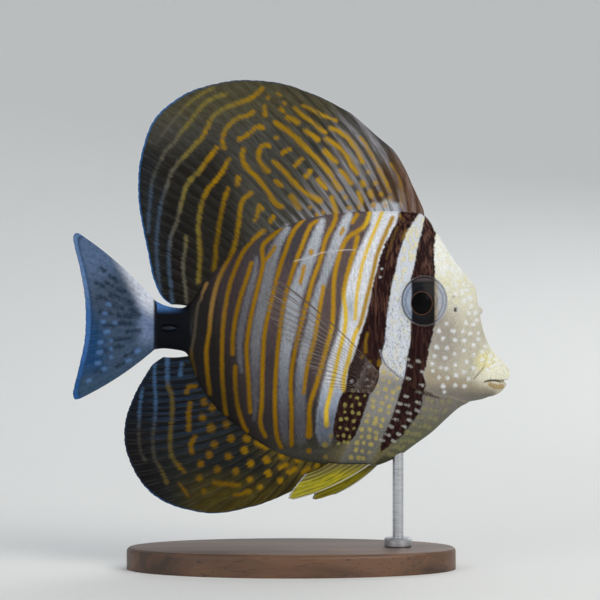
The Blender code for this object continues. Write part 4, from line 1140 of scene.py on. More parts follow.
# %% From a flat sheet to a fin
def flat_sheet(columns, rows):
    """A closed two-layer sheet as a mesh, with each point's place across, out and side."""
    bm = bmesh.new()
    bmesh.ops.create_grid(bm, x_segments=columns, y_segments=rows, size=0.5)
    second = bmesh.ops.extrude_face_region(bm, geom=bm.faces[:])
    for item in second["geom"]:
        if isinstance(item, bmesh.types.BMVert):
            item.co.z = 1.0
    mesh = bpy.data.meshes.new("fin")
    bm.to_mesh(mesh)
    bm.free()
    flat = points_of(mesh)
    return mesh, flat[:, 0] + 0.5, flat[:, 1] + 0.5, 2 * flat[:, 2] - 1


def rays_at(guides, across):
    """Root and tip of the ray at each share across the fin, in metres."""
    shares, index = np.unique(np.round(across, 7), return_inverse=True)
    rows = smooth_curve(guides, shares=shares)[index.reshape(-1)]
    root = np.stack(place(rows[:, 0], rows[:, 1]), axis=1)
    tip = np.stack(place(rows[:, 2], rows[:, 3]), axis=1)
    return root, tip


class Rayed:
    """Numbers that place every point of one rayed fin. Bow is how far the rays arch, as a share
    of their length, and scallop how far the margin draws in between two rays."""

    def __init__(self, guides, rays, spines, across, out, bow, sunk, scallop, sheath=1.0,
                 rise=RIDGE_RISE, drawn_in=0.0):
        self.ray = across * (rays - 1)
        nearest = np.round(self.ray)
        spine = nearest < spines
        self.fork = np.where(spine, 0.0, FORK_SPREAD * ramp(out, FORK_START, 1.0))
        away = np.abs(np.abs(self.ray - nearest) - self.fork)
        ridge = bell(away, 0.0, RIDGE_WIDTH) * (1 - 1.5 * self.fork)
        root, tip = rays_at(guides, across)
        chord = tip - root
        length = np.linalg.norm(chord, axis=1)
        self.along = chord / length[:, None]
        root = root - self.along * sunk
        shorter = scallop * (1 - ridge) * np.minimum(length / SHORT_RAY, 1) + drawn_in
        tip = tip - self.along * shorter[:, None]
        chord = tip - root
        length = np.linalg.norm(chord, axis=1)
        self.out_mm = out * length / MM
        self.margin_mm = (1 - out) * length / MM
        bow = np.broadcast_to(bow, out.shape)[:, None]
        bend = (root + tip) / 2 + np.stack([-chord[:, 1], chord[:, 0]], axis=1) * 2 * bow
        t = out[:, None]
        self.side_view = root * (1 - t) ** 2 + bend * 2 * t * (1 - t) + tip * t**2
        fade = 1 - out
        self.half = TIP_HALF + (MEMBRANE_HALF - TIP_HALF) * np.minimum(1, 4 * fade)
        stout = rise * np.where(spine, SPINE_STOUTNESS, 1.0)
        self.half += stout * (RIDGE_AT_TIP + (1 - RIDGE_AT_TIP) * fade) * ridge
        self.half += SHEATH_HALF * sheath * np.exp(-self.out_mm * MM / SHEATH_LENGTH)


# %% What every fin is finished with
def finish_fin(name, mesh, points, rayed, values, ground, material):
    """Writes a fin's points, paint values and material, and sets it on the fish."""
    move_points(mesh, points)
    placed = {"ray": rayed.ray, "fork": rayed.fork, "out_mm": rayed.out_mm,
              "margin_mm": rayed.margin_mm}
    for key, numbers in (placed | values).items():
        keep_value(mesh, key, numbers)
    for key, colours in ground.items():
        keep_colour(mesh, key, colours)
    if volume_of(mesh) < 0:
        mesh.flip_normals()
    mesh.name = name
    mesh.shade_smooth()
    mesh.materials.append(material)
    thing = into_scene(name, mesh)
    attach(thing, "root")
    print(name, "triangles:", 2 * len(mesh.polygons))
    return thing


# %% [markdown]
# ## Markings of the sail fins
# The yellow lines go on into the dorsal fin and curl into arcs, hooks and dots. Towards the
# rear they turn blue-white. The anal fin has blue-white lines behind and rows of yellow dots.

# %% Marks of the dorsal fin
DORSAL_LINES = [
    (1.3, ((213, 88), (200, 95), (187, 105), (176, 117), (165, 131), (156, 143))),
    (1.9, ((226, 94), (212, 98.7), (203, 105), (195, 115), (188, 124), (180, 133), (174, 143),
        (166, 150), (161, 159), (157, 167), (153, 178), (151, 190), (149, 213), (148, 232))),
    (2.1, ((262, 88.7), (251.5, 97.7), (243, 101.6), (231.4, 105.4), (220, 111), (212.3, 117.8),
        (206.5, 129.3), (200.8, 139), (194, 145.6), (187.4, 153.2), (180.7, 160), (174, 168.5),
        (170, 176), (166.4, 187.7), (163, 197), (160, 210), (157.7, 226), (156.5, 245),
        (157.3, 264.6), (158.2, 276), (160, 290))),
    (2.1, ((216.5, 148), (210.4, 156), (203.7, 164.7), (198.9, 171.4), (192, 178), (186.4, 186),
        (183, 197), (179, 213), (176, 224.4), (171, 236), (169.2, 247.4), (168.7, 261),
        (169.7, 274), (171, 288), (172.6, 304.8))),
    (1.9, ((186, 237), (185.5, 247.4), (183.6, 257), (183, 268.4), (184, 279), (185.5, 290.4),
        (186.4, 302))),
    (2.1, ((228.5, 160), (223.8, 168.5), (218, 178), (210.4, 186), (204.6, 195), (201.7, 205),
        (198.9, 217.7), (198.4, 231), (199.4, 243.6), (200.3, 255), (199.4, 268.4),
        (197.9, 281.8))),
    (2.1, ((227.6, 189.6), (224.7, 198), (222.8, 206.3), (220.4, 218.7), (218, 233), (216, 247.4),
        (215.6, 259), (213.7, 269.4))),
    (2.1, ((251.5, 192.5), (246.7, 196), (242.4, 201), (240, 211), (239, 222.5), (237, 233),
        (235.2, 243.6), (231.4, 255), (226.6, 264.6), (221.8, 274))),
    (2.1, ((263, 231), (255.3, 237.8), (248.6, 247.4), (242, 258), (236.2, 268.4))),
    (2.0, ((253.4, 112), (245.8, 116), (238, 117.8), (231.4, 122.6), (225.7, 129.3), (222.8, 137),
        (222.3, 144.6), (224.7, 147.5))),
    (2.2, ((263, 127.4), (256.3, 127.4), (251.5, 131.2), (246.7, 135), (239, 139.8))),
    (2.2, ((243.4, 149.4), (242, 156), (243.8, 162.8), (248.6, 169.5), (257.2, 178), (265, 187.7),
        (270, 196), (276, 203), (281.8, 206.6))),
    (2.2, ((268.7, 145.6), (263, 145.6), (259, 152.3), (259, 159), (262, 164.7), (267.8, 171.4))),
    (2.5, ((238, 178), (237.6, 184))), (1.8, ((264, 106), (265.4, 115))),
    (2.0, ((259, 206), (257, 216))), (1.8, ((254.8, 220.6),)),
    (2.0, ((273.6, 217), (270.7, 221.5))), (1.7, ((262, 231.5),)), (2.6, ((261.5, 209),)),
    (2.6, ((279.4, 206),)), (2.4, ((297.8, 206),)), (1.8, ((268, 97.6),)),
    (1.8, ((284.7, 103.3),)),
    (2.2, ((276.6, 137.7),)), (2.2, ((289.3, 149.2), (283, 152.7))),
    (2.2, ((301.3, 159.5), (295.6, 165.3))), (2.2, ((310.5, 171), (305.9, 176.8))),
    (2.1, ((273.8, 161.8), (283, 170), (292, 180), (301.3, 189.4), (311, 196), (320.8, 201, 2.6))),
    (2.1, ((276, 181.4), (281.8, 186))), (2.3, ((291, 196.3), (299, 207.8))),
    (1.9, ((309.9, 207.2),)), (1.7, ((317.5, 214.6),)), (1.7, ((323, 212.4),)),
    (2.3, ((274.9, 122.8), (286.4, 129.7), (298, 140), (309.4, 151.5), (319.7, 161.8),
        (327.7, 171), (332.3, 176.8))),
    (2.1, ((334.6, 181.4), (340.4, 189.4))), (1.9, ((345.5, 197.4),)), (1.8, ((349.5, 207.8),)),
    (2.6, ((318.5, 180), (325.4, 188))),
    (2.1, ((331.7, 197.4), (334.6, 206.6), (336.9, 216))),
    (1.9, ((280.7, 109), (282.5, 111))), (2.3, ((287.5, 117), (298, 122.8))),
    (2.3, ((305.9, 130.8), (318, 140))), (2.3, ((324.3, 150.4), (335.8, 161.8))),
    (2.2, ((340.9, 171), (350.7, 183))), (2.0, ((358.7, 192.8), (361, 201), (360, 207.8))),
    (1.7, ((294.4, 108), (303.6, 116), (312.8, 122.8), (322, 130.8), (325.4, 132))),
    (2.2, ((326.6, 139), (335.8, 144.6), (345, 153.8), (351.8, 165.3), (357.6, 173.3))),
    (2.2, ((362.7, 182), (363.5, 185))), (2.2, ((370, 192), (371.5, 196))),
    (2.0, ((373.7, 205),)),
    (2.1, ((331.2, 128.5), (340.4, 132), (349.5, 140), (357.6, 151.5), (362.2, 161.8))),
    (1.9, ((368.5, 172),)), (1.9, ((375.4, 183),)), (1.9, ((381, 194),)), (1.9, ((385, 205.5),)),
    (1.3, ((360, 137.7), (370.2, 152.7), (380.5, 171), (387.4, 186), (390.3, 191.7))),
    (1.6, ((390.9, 197.4),)),
    (0.9, ((391, 164), (397.8, 175.6), (401.8, 190.5), (401.2, 205.5))),
    (1.3, ((277, 93), (280, 95))), (1.2, ((303.6, 105.6), (317.4, 112.5))),
    (1.2, ((320.8, 114.8), (335.8, 120.5))),
]

# %% Marks of the anal fin
ANAL_LINES = [
    (1.5, ((142.5, 388.7), (140.3, 403), (139, 421), (139, 438.6), (141, 453), (145.5, 460.6))),
    (1.7, ((155, 363.7), (154.3, 378.4), (155.7, 399), (155, 418), (152.8, 438.6), (154.3, 457.6),
        (160, 468), (164.5, 476.7), (166.7, 482.6))),
    (1.9, ((167.5, 358), (167.5, 384), (171.9, 396), (171.9, 415), (170.4, 435.6), (170.4, 451.8),
        (176.3, 463.5), (183.6, 470.8))),
    (1.6, ((181.4, 363.7), (180, 375.5))), (1.2, ((179, 482.6), (188, 495.8))),
    (2.2, ((186.5, 391.6), (189.5, 387), (195.3, 385.7))),
    (2.2, ((190.2, 403.3), (188.7, 413.6), (188.7, 429.7))),
    (2.3, ((195.3, 437), (191, 444.4), (191.7, 451.8))),
    (3.3, ((204, 402),)), (3.4, ((212, 407.7),)), (3.4, ((202.7, 417.3),)), (4.3, ((211, 428.4),)),
    (3.6, ((226.4, 424.2),)), (3.6, ((214.4, 444.4),)), (3.7, ((230.6, 438.3),)),
    (3.6, ((246.5, 438.6),)), (3.6, ((209.3, 454.7),)), (3.8, ((228.4, 456.2),)),
    (3.7, ((244.5, 450.3),)), (2.4, ((257, 443), (266, 447))), (3.3, ((200.5, 464.2),)),
    (3.6, ((217.4, 469.4),)), (3.6, ((235.7, 471.6),)), (3.6, ((250.4, 463.5),)),
    (3.6, ((266.5, 459.8),)), (3.3, ((199.7, 478.2),)), (2.5, ((204, 491.4),)),
    (3.4, ((281.9, 455.4),)), (3.3, ((298.8, 459.8),)), (2.2, ((280.5, 468), (286.3, 465))),
    (2.2, ((289.5, 472.5), (295, 469))), (2.1, ((303, 472.5), (308, 469))), (3.3, ((268, 473),)),
    (3.3, ((250.4, 479.6),)), (2.0, ((214.4, 482.6), (226, 484), (239.4, 485.5))),
    (2.9, ((280.4, 480.4),)), (2.8, ((260, 487),)), (2.5, ((317, 466),)),
    (1.6, ((235, 495.8), (249.6, 491.4))),
]
print("dorsal marks:", len(DORSAL_LINES), "anal marks:", len(ANAL_LINES))

# %% [markdown]
# The ground of the sail fins is olive-grey near the head and brown-black behind. Fine streaks run
# along the rays: a pale lavender painted sheen in front, and the anal fin's own blue at its rear,
# laid on the same half of each fold as the sheen, with painted shade on the other half. The colour
# that a line takes depends on where it is, so it is laid down as a second layer of colour.


# %% Ground and line colours of the dorsal fin
def leaning(u, v):
    """Places along the dorsal fin for its front, where like colours lie along leaning rays."""
    return u + 0.45 * (v - 150)


def rearward(u, v):
    """Places along it for its rear, where the lowest rays point downwards."""
    return u - 0.15 * np.maximum(v - 200, 0)


def dorsal_ground(u, v):
    """Olive-grey in the middle, near black at the rear, and lavender-brown towards the head."""
    front = leaning(u, v)
    shine = ramp(np.hypot(u - 386 + 0.3 * (v - 207), (v - 208) * 0.7), 9, 3)
    return blended(u, "#403F38", (
        ("#46422F", ramp(v, 140, 100)),
        ("#1D1A14", ramp(u - 0.25 * (v - 150), 246, 205) * ramp(v, 118, 170)),
        ("#0E0B09", ramp(u, 208, 165) * ramp(v, 165, 240)),
        ("#1B1D1E", ramp(u, 172, 150) * ramp(v, 140, 165)),
        ("#605D5B", ramp(front, 310, 355)),
        ("#54402F", ramp(front, 378, 398)),
        ("#C9C4B2", shine),
        ("#6A4F3E", ramp(u, 394, 406)),
        ("#B4B7C0", ramp(silver_distance(u, v), 4.0, 0.0) * ramp(u, 255, 330)),
    ))


def dorsal_line_colour(u, v):
    """Gold, fading through khaki and grey to blue-grey towards the rear edge."""
    khaki = np.maximum(ramp(u, 258, 218) * ramp(v, 142, 110), ramp(u, 210, 192))
    return blended(u, "#947000", (
        ("#AE8715", ramp(u, 285, 325)),
        ("#6E5400", ramp(u, 250, 222) * ramp(v, 175, 225)),
        ("#75692F", khaki),
        ("#5E5A4C", ramp(rearward(u, v), 187, 173)),
        ("#3A4B5E", ramp(rearward(u, v), 171, 158) * ramp(v, 165, 195)),
        ("#3C3D38", ramp(u, 168, 153) * ramp(v, 190, 165)),
        ("#8C6A2A", ramp(u, 385, 396)),
    ))


# %% Ground and line colours of the anal fin
def anal_ground(u, v):
    """Blue-black at the rear and olive-brown below and in front."""
    return blended(u, "#1C1F1D", (
        ("#0A1019", ramp(u, 215, 172) * ramp(v, 462, 415)),
        ("#100E11", ramp(u, 176, 142) * ramp(v, 408, 450)),
        ("#453B12", ramp(v, 462, 496) * ramp(u, 165, 215)),
        ("#594D20", ramp(u - (v - 450), 240, 290) * ramp(v, 425, 455)),
    ))


def anal_line_colour(u, v):
    """Gold in front, ochre behind, and blue at the rear edge and the top."""
    blue = np.maximum(ramp(u, 163, 156) * ramp(v, 436, 402), ramp(v, 388, 378) * ramp(u, 186, 182))
    return blended(u, "#6E5000", (
        ("#957100", ramp(u, 225, 262)),
        ("#574A22", ramp(u, 182, 174)),
        ("#3E3B32", ramp(u, 163, 156)),
        ("#3C5A7C", blue),
    ))


# %% Steps that every fin paint shares
STREAK_ACROSS = 2.6
STREAK_LONG_MM = 16.0
BRUSH_ACROSS = 5.0
BRUSH_LONG_MM = 4.5
FIN_BUMP = {"Strength": 0.4, "Distance": 0.1 * MM}


def fin_steps(add):
    """Distance from the nearest branch of a ray, and fine and broad noise drawn out along the
    rays. Distances across count in ray spacings, those along the rays in millimetres."""
    ray, out_mm, fork = [
        add("Attribute", attribute_name=name) for name in ("ray", "out_mm", "fork")
    ]
    spacing = add("Math", {0: ray, 1: 0.5}, operation="PINGPONG")
    spacing = add("Math", {0: spacing, 1: fork}, operation="SUBTRACT")
    from_ray = add("Math", {0: spacing}, operation="ABSOLUTE")
    fan = add("CombineXYZ", {"X": ray, "Y": out_mm})
    drawn_out = [
        add("Mapping", {"Vector": fan, "Scale": (across, 1 / long_mm, 1.0)})
        for across, long_mm in ((BRUSH_ACROSS, BRUSH_LONG_MM), (STREAK_ACROSS, STREAK_LONG_MM))
    ]
    brush, streak = [
        add("TexNoise", {"Vector": fanned, "Scale": 1.0, "Detail": 4.0}) for fanned in drawn_out
    ]
    return ray, out_mm, from_ray, brush, streak


# %% Painted light and shade of the membrane's folds
# Where in the gap between two rays, and how light: 1 is the painted sheen, 0 the painted shade and
# 0.5 neither.
FOLD_TONES = ((0.12, 0.85), (0.35, 1.0), (0.55, 0.5), (0.72, 0.0), (0.88, 0.05))


def fold_masks(add, ray, streak):
    """The painted sheen and the painted shade on the two sides of each fold, with edges that wander
    along the streaks.
    """
    drift = add("MapRange", span(streak, 0.3, 0.7, -0.22, 0.22))
    phase = add("Math", {0: ray, 1: drift}, operation="ADD")
    phase = add("Math", {0: phase}, operation="FRACT")
    fold = add("ValToRGB", {"Fac": phase}, "Color")
    tones = fold.node.color_ramp
    for end in tones.elements:
        end.color = (0.5, 0.5, 0.5, 1.0)
    for position, tone in FOLD_TONES:
        tones.elements.new(position).color = (tone, tone, tone, 1.0)
    sides = []
    for name, full in (("grain_and_sheen", 1.0), ("fold_shade", 0.0)):
        side = add("MapRange", span(fold, 0.5, full))
        share = add("Attribute", attribute_name=name)
        sides.append(add("Math", {0: side, 1: share}, operation="MULTIPLY"))
    return sides


# %% Sail fin paint: translucent acrylic streaks under matt varnish
# Each gap between rays has a painted sheen on one half and painted shade on the other, as on a
# membrane that is folded a little at every ray, so the eye reads the fin as a fan although it is
# nearly flat.
def sail_paint(name, rim_hex, sheen_hex):
    """The paint of one sail fin, with the colours of its rim and of its painted sheen."""
    material, add, shader = new_material(name, Roughness=0.48, Specular_IOR_Level=0.08)
    ray, _, from_ray, brush, streak = fin_steps(add)
    ground = add("Attribute", take="Color", attribute_name="ground")
    shade = add("MapRange", span(brush, 0.3, 0.7, 0.72, 1.30))
    colour = add(
        "Mix", {"Factor": 1.0, "A": ground, "B": shade}, data_type="RGBA", blend_type="MULTIPLY",
    )
    painted_sheen, dark = fold_masks(add, ray, streak)
    uneven = add("MapRange", span(brush, 0.35, 0.60, 0.35, 1.0))
    painted_sheen = add("Math", {0: painted_sheen, 1: uneven}, operation="MULTIPLY")
    on_ray = add("MapRange", span(from_ray, 0.12, 0.03))
    on_ray = add("Math", {0: on_ray, 1: uneven}, operation="MULTIPLY")
    waver = add("MapRange", span(brush, 0.3, 0.7, -1.5, 1.5))
    marks = mark_mask(add, "marks", 2.1, waver, grow=0.35)
    worn = add("MapRange", span(streak, 0.68, 0.52, 0.55, 1.0))
    marks = add("Math", {0: marks, 1: worn}, operation="MULTIPLY")
    margin = add("Attribute", attribute_name="margin_mm")
    rim = add("MapRange", span(margin, 0.8, 0.4))
    blue_rim = add("Attribute", attribute_name="blue_rim")
    rim = add("Math", {0: rim, 1: blue_rim}, operation="MULTIPLY")
    colour = airbrush(add, colour, [
        # Painted shade on one half of each fold, and a painted sheen on the other
        ("#0F0E0C", dark, 0.75),
        (sheen_hex, painted_sheen, 0.85),
        ("#77756F", on_ray, 0.07),
        (add("Attribute", take="Color", attribute_name="line_colour"), marks, 0.95),
        (rim_hex, rim, 0.85),
    ])
    height = add("Bump", {"Height": brush, **FIN_BUMP})
    wire(shader, Base_Color=colour, Normal=height)
    return material


# %% [markdown]
# ## The two sails
# Dorsal and anal fin are the great sails that give the fish its name. Both stand in the middle
# plane, so each sheet only needs its rays, a slight ripple and its margin. The skin of the dorsal
# fin draws in a little between the tips of its front spines. The camera's view of each point says
# which marks it carries, so the lines run on from the flank without a step.

# %% Shape of the sails in the middle plane
RIPPLE_REACH_MM = 40.0
# Where a spine's tip stands at the margin, and how deep the skin behind it draws in, in mm
MARGIN_CORNERS = ((293.0, 0.3), (320.5, 0.7), (351.0, 1.4), (392.5, 0.4), (417.0, 0.0))


def middle_points(rayed, side, ripple_mm):
    """A fin in the fish's middle plane, with a slight ripple towards its edge."""
    reach = np.clip(rayed.out_mm / RIPPLE_REACH_MM, 0, 1) ** 2
    sway = ripple_mm * MM * reach * np.sin(rayed.ray * 0.9)
    x, z = rayed.side_view.T
    return np.stack([x, side * rayed.half + sway, z], axis=1)


def drawn_in_between(tip_u):
    """How far the margin lies inside the line over the spine tips, in metres."""
    corner_u, depth_mm = np.array(MARGIN_CORNERS).T
    step = np.interp(tip_u, corner_u, np.arange(len(corner_u)))
    return depth_mm[step.astype(int)] * np.sin(np.pi * (step % 1.0)) * MM


# %% Dorsal fin
sail_dorsal = sail_paint("dorsal_membrane_painted_sheen", "#24619C", "#8E8E95")
mesh, across, out, side = flat_sheet(320, 96)
rayed = Rayed(
    DORSAL_GUIDES, 33, 4, across, out,
    bow=-(0.03 + 0.05 * np.maximum(0.0, 1 - 3 * across)), sunk=1.6 * MM,
    scallop=0.25 * MM, drawn_in=drawn_in_between(smooth_curve(DORSAL_GUIDES, shares=across)[:, 2]),
)
points = middle_points(rayed, side, ripple_mm=0.35)
u, v = near_flank(points)
front = leaning(u, v)
dorsal_values = {
    "marks": stroke_distance(u, v, DORSAL_LINES) + 0.35 + 0.6 * ramp(rearward(u, v), 192, 168),
    "grain_and_sheen": 0.03 + 0.92 * ramp(front, 300, 360) * ramp(front, 404, 388)
    + 0.35 * ramp(out, 0.30, 0.0) * ramp(u, 235, 300) + 0.30 * ramp(front, 388, 400),
    "fold_shade": 0.25 + 0.45 * ramp(u, 250, 310),
    "blue_rim": 0.25 + 0.75 * ramp(u - 0.3 * (v - 150), 235, 185),
}
dorsal = finish_fin(
    "dorsal_sail", mesh, points, rayed, dorsal_values,
    {"ground": dorsal_ground(u, v), "line_colour": dorsal_line_colour(u, v)},
    sail_dorsal,
)
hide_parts("dorsal_fin")

# %% Anal fin
sail_anal = sail_paint("anal_membrane_painted_sheen", "#25507E", "#2A3F58")
mesh, across, out, side = flat_sheet(250, 90)
rayed = Rayed(
    ANAL_GUIDES, 26, 3, across, out, bow=0.04, sunk=1.6 * MM, scallop=0.25 * MM,
)
points = middle_points(rayed, side, ripple_mm=0.3)
u, v = near_flank(points)
anal_values = {
    "marks": stroke_distance(u, v, ANAL_LINES) + 0.35 + 0.4 * ramp(u, 168, 158),
    "grain_and_sheen": 0.55 * ramp(u, 255, 200) * ramp(v, 470, 425) * ramp(u, 140, 155),
    "fold_shade": 0.35 + 0.5 * ramp(u, 200, 280),
    "blue_rim": 0.2 + 0.8 * ramp(v, 478, 496) * ramp(u, 275, 235),
}
anal = finish_fin(
    "anal_sail", mesh, points, rayed, anal_values,
    {"ground": anal_ground(u, v), "line_colour": anal_line_colour(u, v)},
    sail_anal,
)
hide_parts("anal_fin")

# %% [markdown]
# ## Tail fin
# The tail fin is slate blue, bright at its root and along its rear rim, with dark dashes between
# the rays and pale spots low down. These marks are drawn like those of the other fins, but with
# soft edges. The fin's root is fleshy and takes over the stalk's own width, so skin and fin run
# together.

# %% Marks of the tail fin
TAIL_DASHES = [
    (1.7, ((119, 315.5), (131, 316), (139, 315))), (1.7, ((119, 323), (132, 323))),
    (1.4, ((127, 332), (139, 331))), (1.5, ((113, 340), (121, 339.5), (129.6, 338.5))),
    (1.5, ((113, 348), (122, 347))), (1.5, ((112, 304), (122.5, 307.5))),
    (1.6, ((110.5, 294.5), (120.5, 298))), (1.4, ((116.5, 288.5), (124, 292))),
    (1.6, ((106, 283), (113, 286.5))), (1.6, ((110, 276.5), (117, 281.5))),
    (1.4, ((130, 309.5), (137, 312.5))), (1.6, ((98, 297.5), (107, 300.5))),
    (1.7, ((101.5, 268), (104, 270.5))), (1.4, ((124, 299.5), (131, 303))),
    (1.6, ((100, 311), (111, 313))), (1.5, ((96, 283), (103, 286))),
    (1.4, ((126, 356), (134, 352))), (1.5, ((116, 366), (124, 362))),
    (1.4, ((95, 373), (101, 371))), (1.5, ((104, 352), (108, 351.5))),
    (1.4, ((104, 325), (113, 326))),
]
TAIL_SPOTS = [
    (1.9, ((102.5, 321.7), (104, 321.7))), (2.1, ((105.5, 332), (108.5, 331.5))),
    (2.0, ((99.5, 342.5), (101, 342))), (2.1, ((98.5, 352.5), (101, 352))),
    (1.9, ((96.5, 363.2), (99, 362.7))), (1.9, ((103.5, 369), (105, 368.6))),
    (1.7, ((111.3, 340.6),)), (1.8, ((111.3, 348.8),)), (1.8, ((111.3, 357),)),
    (2.2, ((136.5, 351.5), (139, 350.5))), (1.8, ((104, 313), (106, 313.3))),
    (1.5, ((114, 322.5), (116, 322.7))), (1.7, ((127, 361), (130, 360))),
    (1.9, ((107.5, 304), (110, 304.8))), (1.9, ((88, 381), (90, 380))),
]

# %% Tail fin paint: airbrushed slate blue under matt varnish
# The matt varnish lets the fine mottling show and keeps reflections off the broad fin.
MOTTLE_MM = 1.3
tail_paint, add, shader = new_material(
    "slate_blue_tail_membrane", Roughness=0.48, Specular_IOR_Level=0.08
)
_, _, from_ray, brush, _ = fin_steps(add)
where = add("TexCoord", take="Object")
mottle = add("TexNoise", {"Vector": where, "Scale": 1 / (MOTTLE_MM * MM), "Detail": 4.0})
waver = add("MapRange", span(mottle, 0.3, 0.7, -1.0, 1.0))
shade = add("MapRange", span(mottle, 0.3, 0.7, 0.78, 1.22))
margin = add("Attribute", attribute_name="margin_mm")
inner = add("MapRange", span(margin, 3.3, 2.4))
rim = add("MapRange", span(margin, 2.1, 1.5))
colour = airbrush(add, add("Attribute", take="Color", attribute_name="ground"), [
    ("#1D2C3E", mark_mask(add, "dashes", 2.3, waver, grow=0.5), 0.85),
    ("#5A7FB2", mark_mask(add, "spots", 1.8, waver, grow=-0.1), 0.6),
    ("#1B3D63", inner, 0.55),
    (add("Attribute", take="Color", attribute_name="line_colour"), rim, 0.9),
    ("#8291AC", add("MapRange", span(from_ray, 0.12, 0.03)), 0.05),
])
colour = add(
    "Mix", {"Factor": 1.0, "A": colour, "B": shade}, data_type="RGBA", blend_type="MULTIPLY",
)
height = add("Bump", {"Height": brush, **FIN_BUMP})
wire(shader, Base_Color=colour, Normal=height)

# %% Tail fin
STALK_HALF = 2.05 * MM
STALK_FADE_MM = 3.4
mesh, across, out, side = flat_sheet(170, 84)
rayed = Rayed(
    CAUDAL_GUIDES, 17, 0, across, out, bow=0.035 * (2 * across - 1), sunk=1.2 * MM,
    scallop=0.2 * MM, sheath=0.0,
)
stalk_half = STALK_HALF * np.sqrt(np.clip(1 - (2 * across - 1) ** 2, 0, 1))
rayed.half += stalk_half * np.exp(-np.maximum(rayed.out_mm - 1.2, 0) / STALK_FADE_MM)
points = middle_points(rayed, side, ripple_mm=0.3)
u, v = near_flank(points)
tail_colour = blended(u, "#3C4A5D", (
    ("#506483", ramp(v + 0.5 * (u - 110), 295, 250)),
    ("#3A4B61", ramp(v, 300, 345)),
    ("#153C64", ramp(v, 295, 340) * ramp(u, 116, 92) * ramp(v, 392, 372)),
    ("#33495F", ramp(v, 360, 384)),
    ("#6A7B9A", ramp(u, 132, 147) * ramp(v, 352, 335)),
    ("#C9CEDA", ramp(u - 0.55 * (v - 300), 131, 147) * ramp(v, 325, 303)),
    ("#060C16", ramp(u, 152.5, 155.0)),
))
tail_rim = blended(
    u, "#5C78A2", (("#3A66A0", ramp(v, 285, 315)), ("#23528A", ramp(v, 340, 385))),
)
tail = finish_fin(
    "tail_fan", mesh, points, rayed,
    {"dashes": stroke_distance(u, v, TAIL_DASHES), "spots": stroke_distance(u, v, TAIL_SPOTS)},
    {"ground": tail_colour, "line_colour": tail_rim}, tail_paint,
)
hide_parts("caudal_fin")

# %% [markdown]
# ## Pectoral fins
# The pectoral fin is as clear as glass, with thin dark rays, and grows from a fleshy base behind
# the gill cover. The same rayed sheet is turned out from the flank. A ray cast against the skin
# finds where its root belongs, and an alpha that follows the rays makes the membrane clear.

# %% Where the flank is
skin_tree_mesh = bmesh.new()
skin_tree_mesh.from_mesh(skin_mesh)
skin_tree = BVHTree.FromBMesh(skin_tree_mesh)
skin_tree_mesh.free()


def flank_y(x, z):
    """Half width of the skin at a side-view point, found by a ray from the side."""
    hit = skin_tree.ray_cast(Vector((x, 0.05, z)), Vector((0, -1, 0)))[0]
    return hit.y if hit is not None else 0.0


print("half width at the pectoral root:", round(flank_y(*place(374, 381)) / MM, 2), "mm")

# %% Clear fin: cast resin with painted rays
# Clear resin lets the flank show through, so only the rays and the fleshy base meet the eye.
FLESH_MM = 6.2
FLESH_MOTTLE_MM = 1.3
clear_paint, add, shader = new_material(
    "clear_resin_pectoral", Roughness=0.40, Specular_IOR_Level=0.20
)
ray, out_mm, from_ray, brush, streak = fin_steps(add)
leading = add("MapRange", span(ray, 0.34, 0.14))
hair = add("MapRange", span(from_ray, 0.11, 0.04))
worn = add("MapRange", span(brush, 0.30, 0.50, 0.7, 1.0))
hair = add("Math", {0: hair, 1: worn}, operation="MULTIPLY")
where = add("TexCoord", take="Object")
mottle = add("TexNoise", {
    "Vector": where, "Scale": 1 / (FLESH_MOTTLE_MM * MM), "Detail": 3.0, "Distortion": 0.5,
})
waver = add("MapRange", span(mottle, 0.3, 0.7, -1.1, 1.1))
fleshy = add("Math", {0: out_mm, 1: waver}, operation="ADD")
fleshy = add("MapRange", span(fleshy, FLESH_MM + 1.0, FLESH_MM - 1.4))
flesh = airbrush(add, "#4F3D33", [
    ("#27181A", add("MapRange", span(mottle, 0.46, 0.56)), 0.9),
    ("#77777C", add("MapRange", span(mottle, 0.38, 0.33)), 0.9),
    ("#6C6660", add("MapRange", span(ray, 1.6, 0.4)), 0.6),
])
ray_colour = airbrush(add, "#5E544E", [
    ("#8F867E", add("MapRange", span(streak, 0.48, 0.58)), 0.8),
])
colour = airbrush(add, "#7A716B", [
    (ray_colour, hair, 1.0), ("#5A4A45", leading, 0.9), (flesh, fleshy, 1.0),
])
alpha = add("MapRange", span(hair, 0.0, 1.0, 0.01, 0.46))
strong = add("Math", {0: leading, 1: 0.62}, operation="MULTIPLY")
alpha = add("Math", {0: alpha, 1: strong}, operation="MAXIMUM")
alpha = add("Math", {0: alpha, 1: fleshy}, operation="MAXIMUM")
wire(shader, Base_Color=colour, Alpha=alpha)

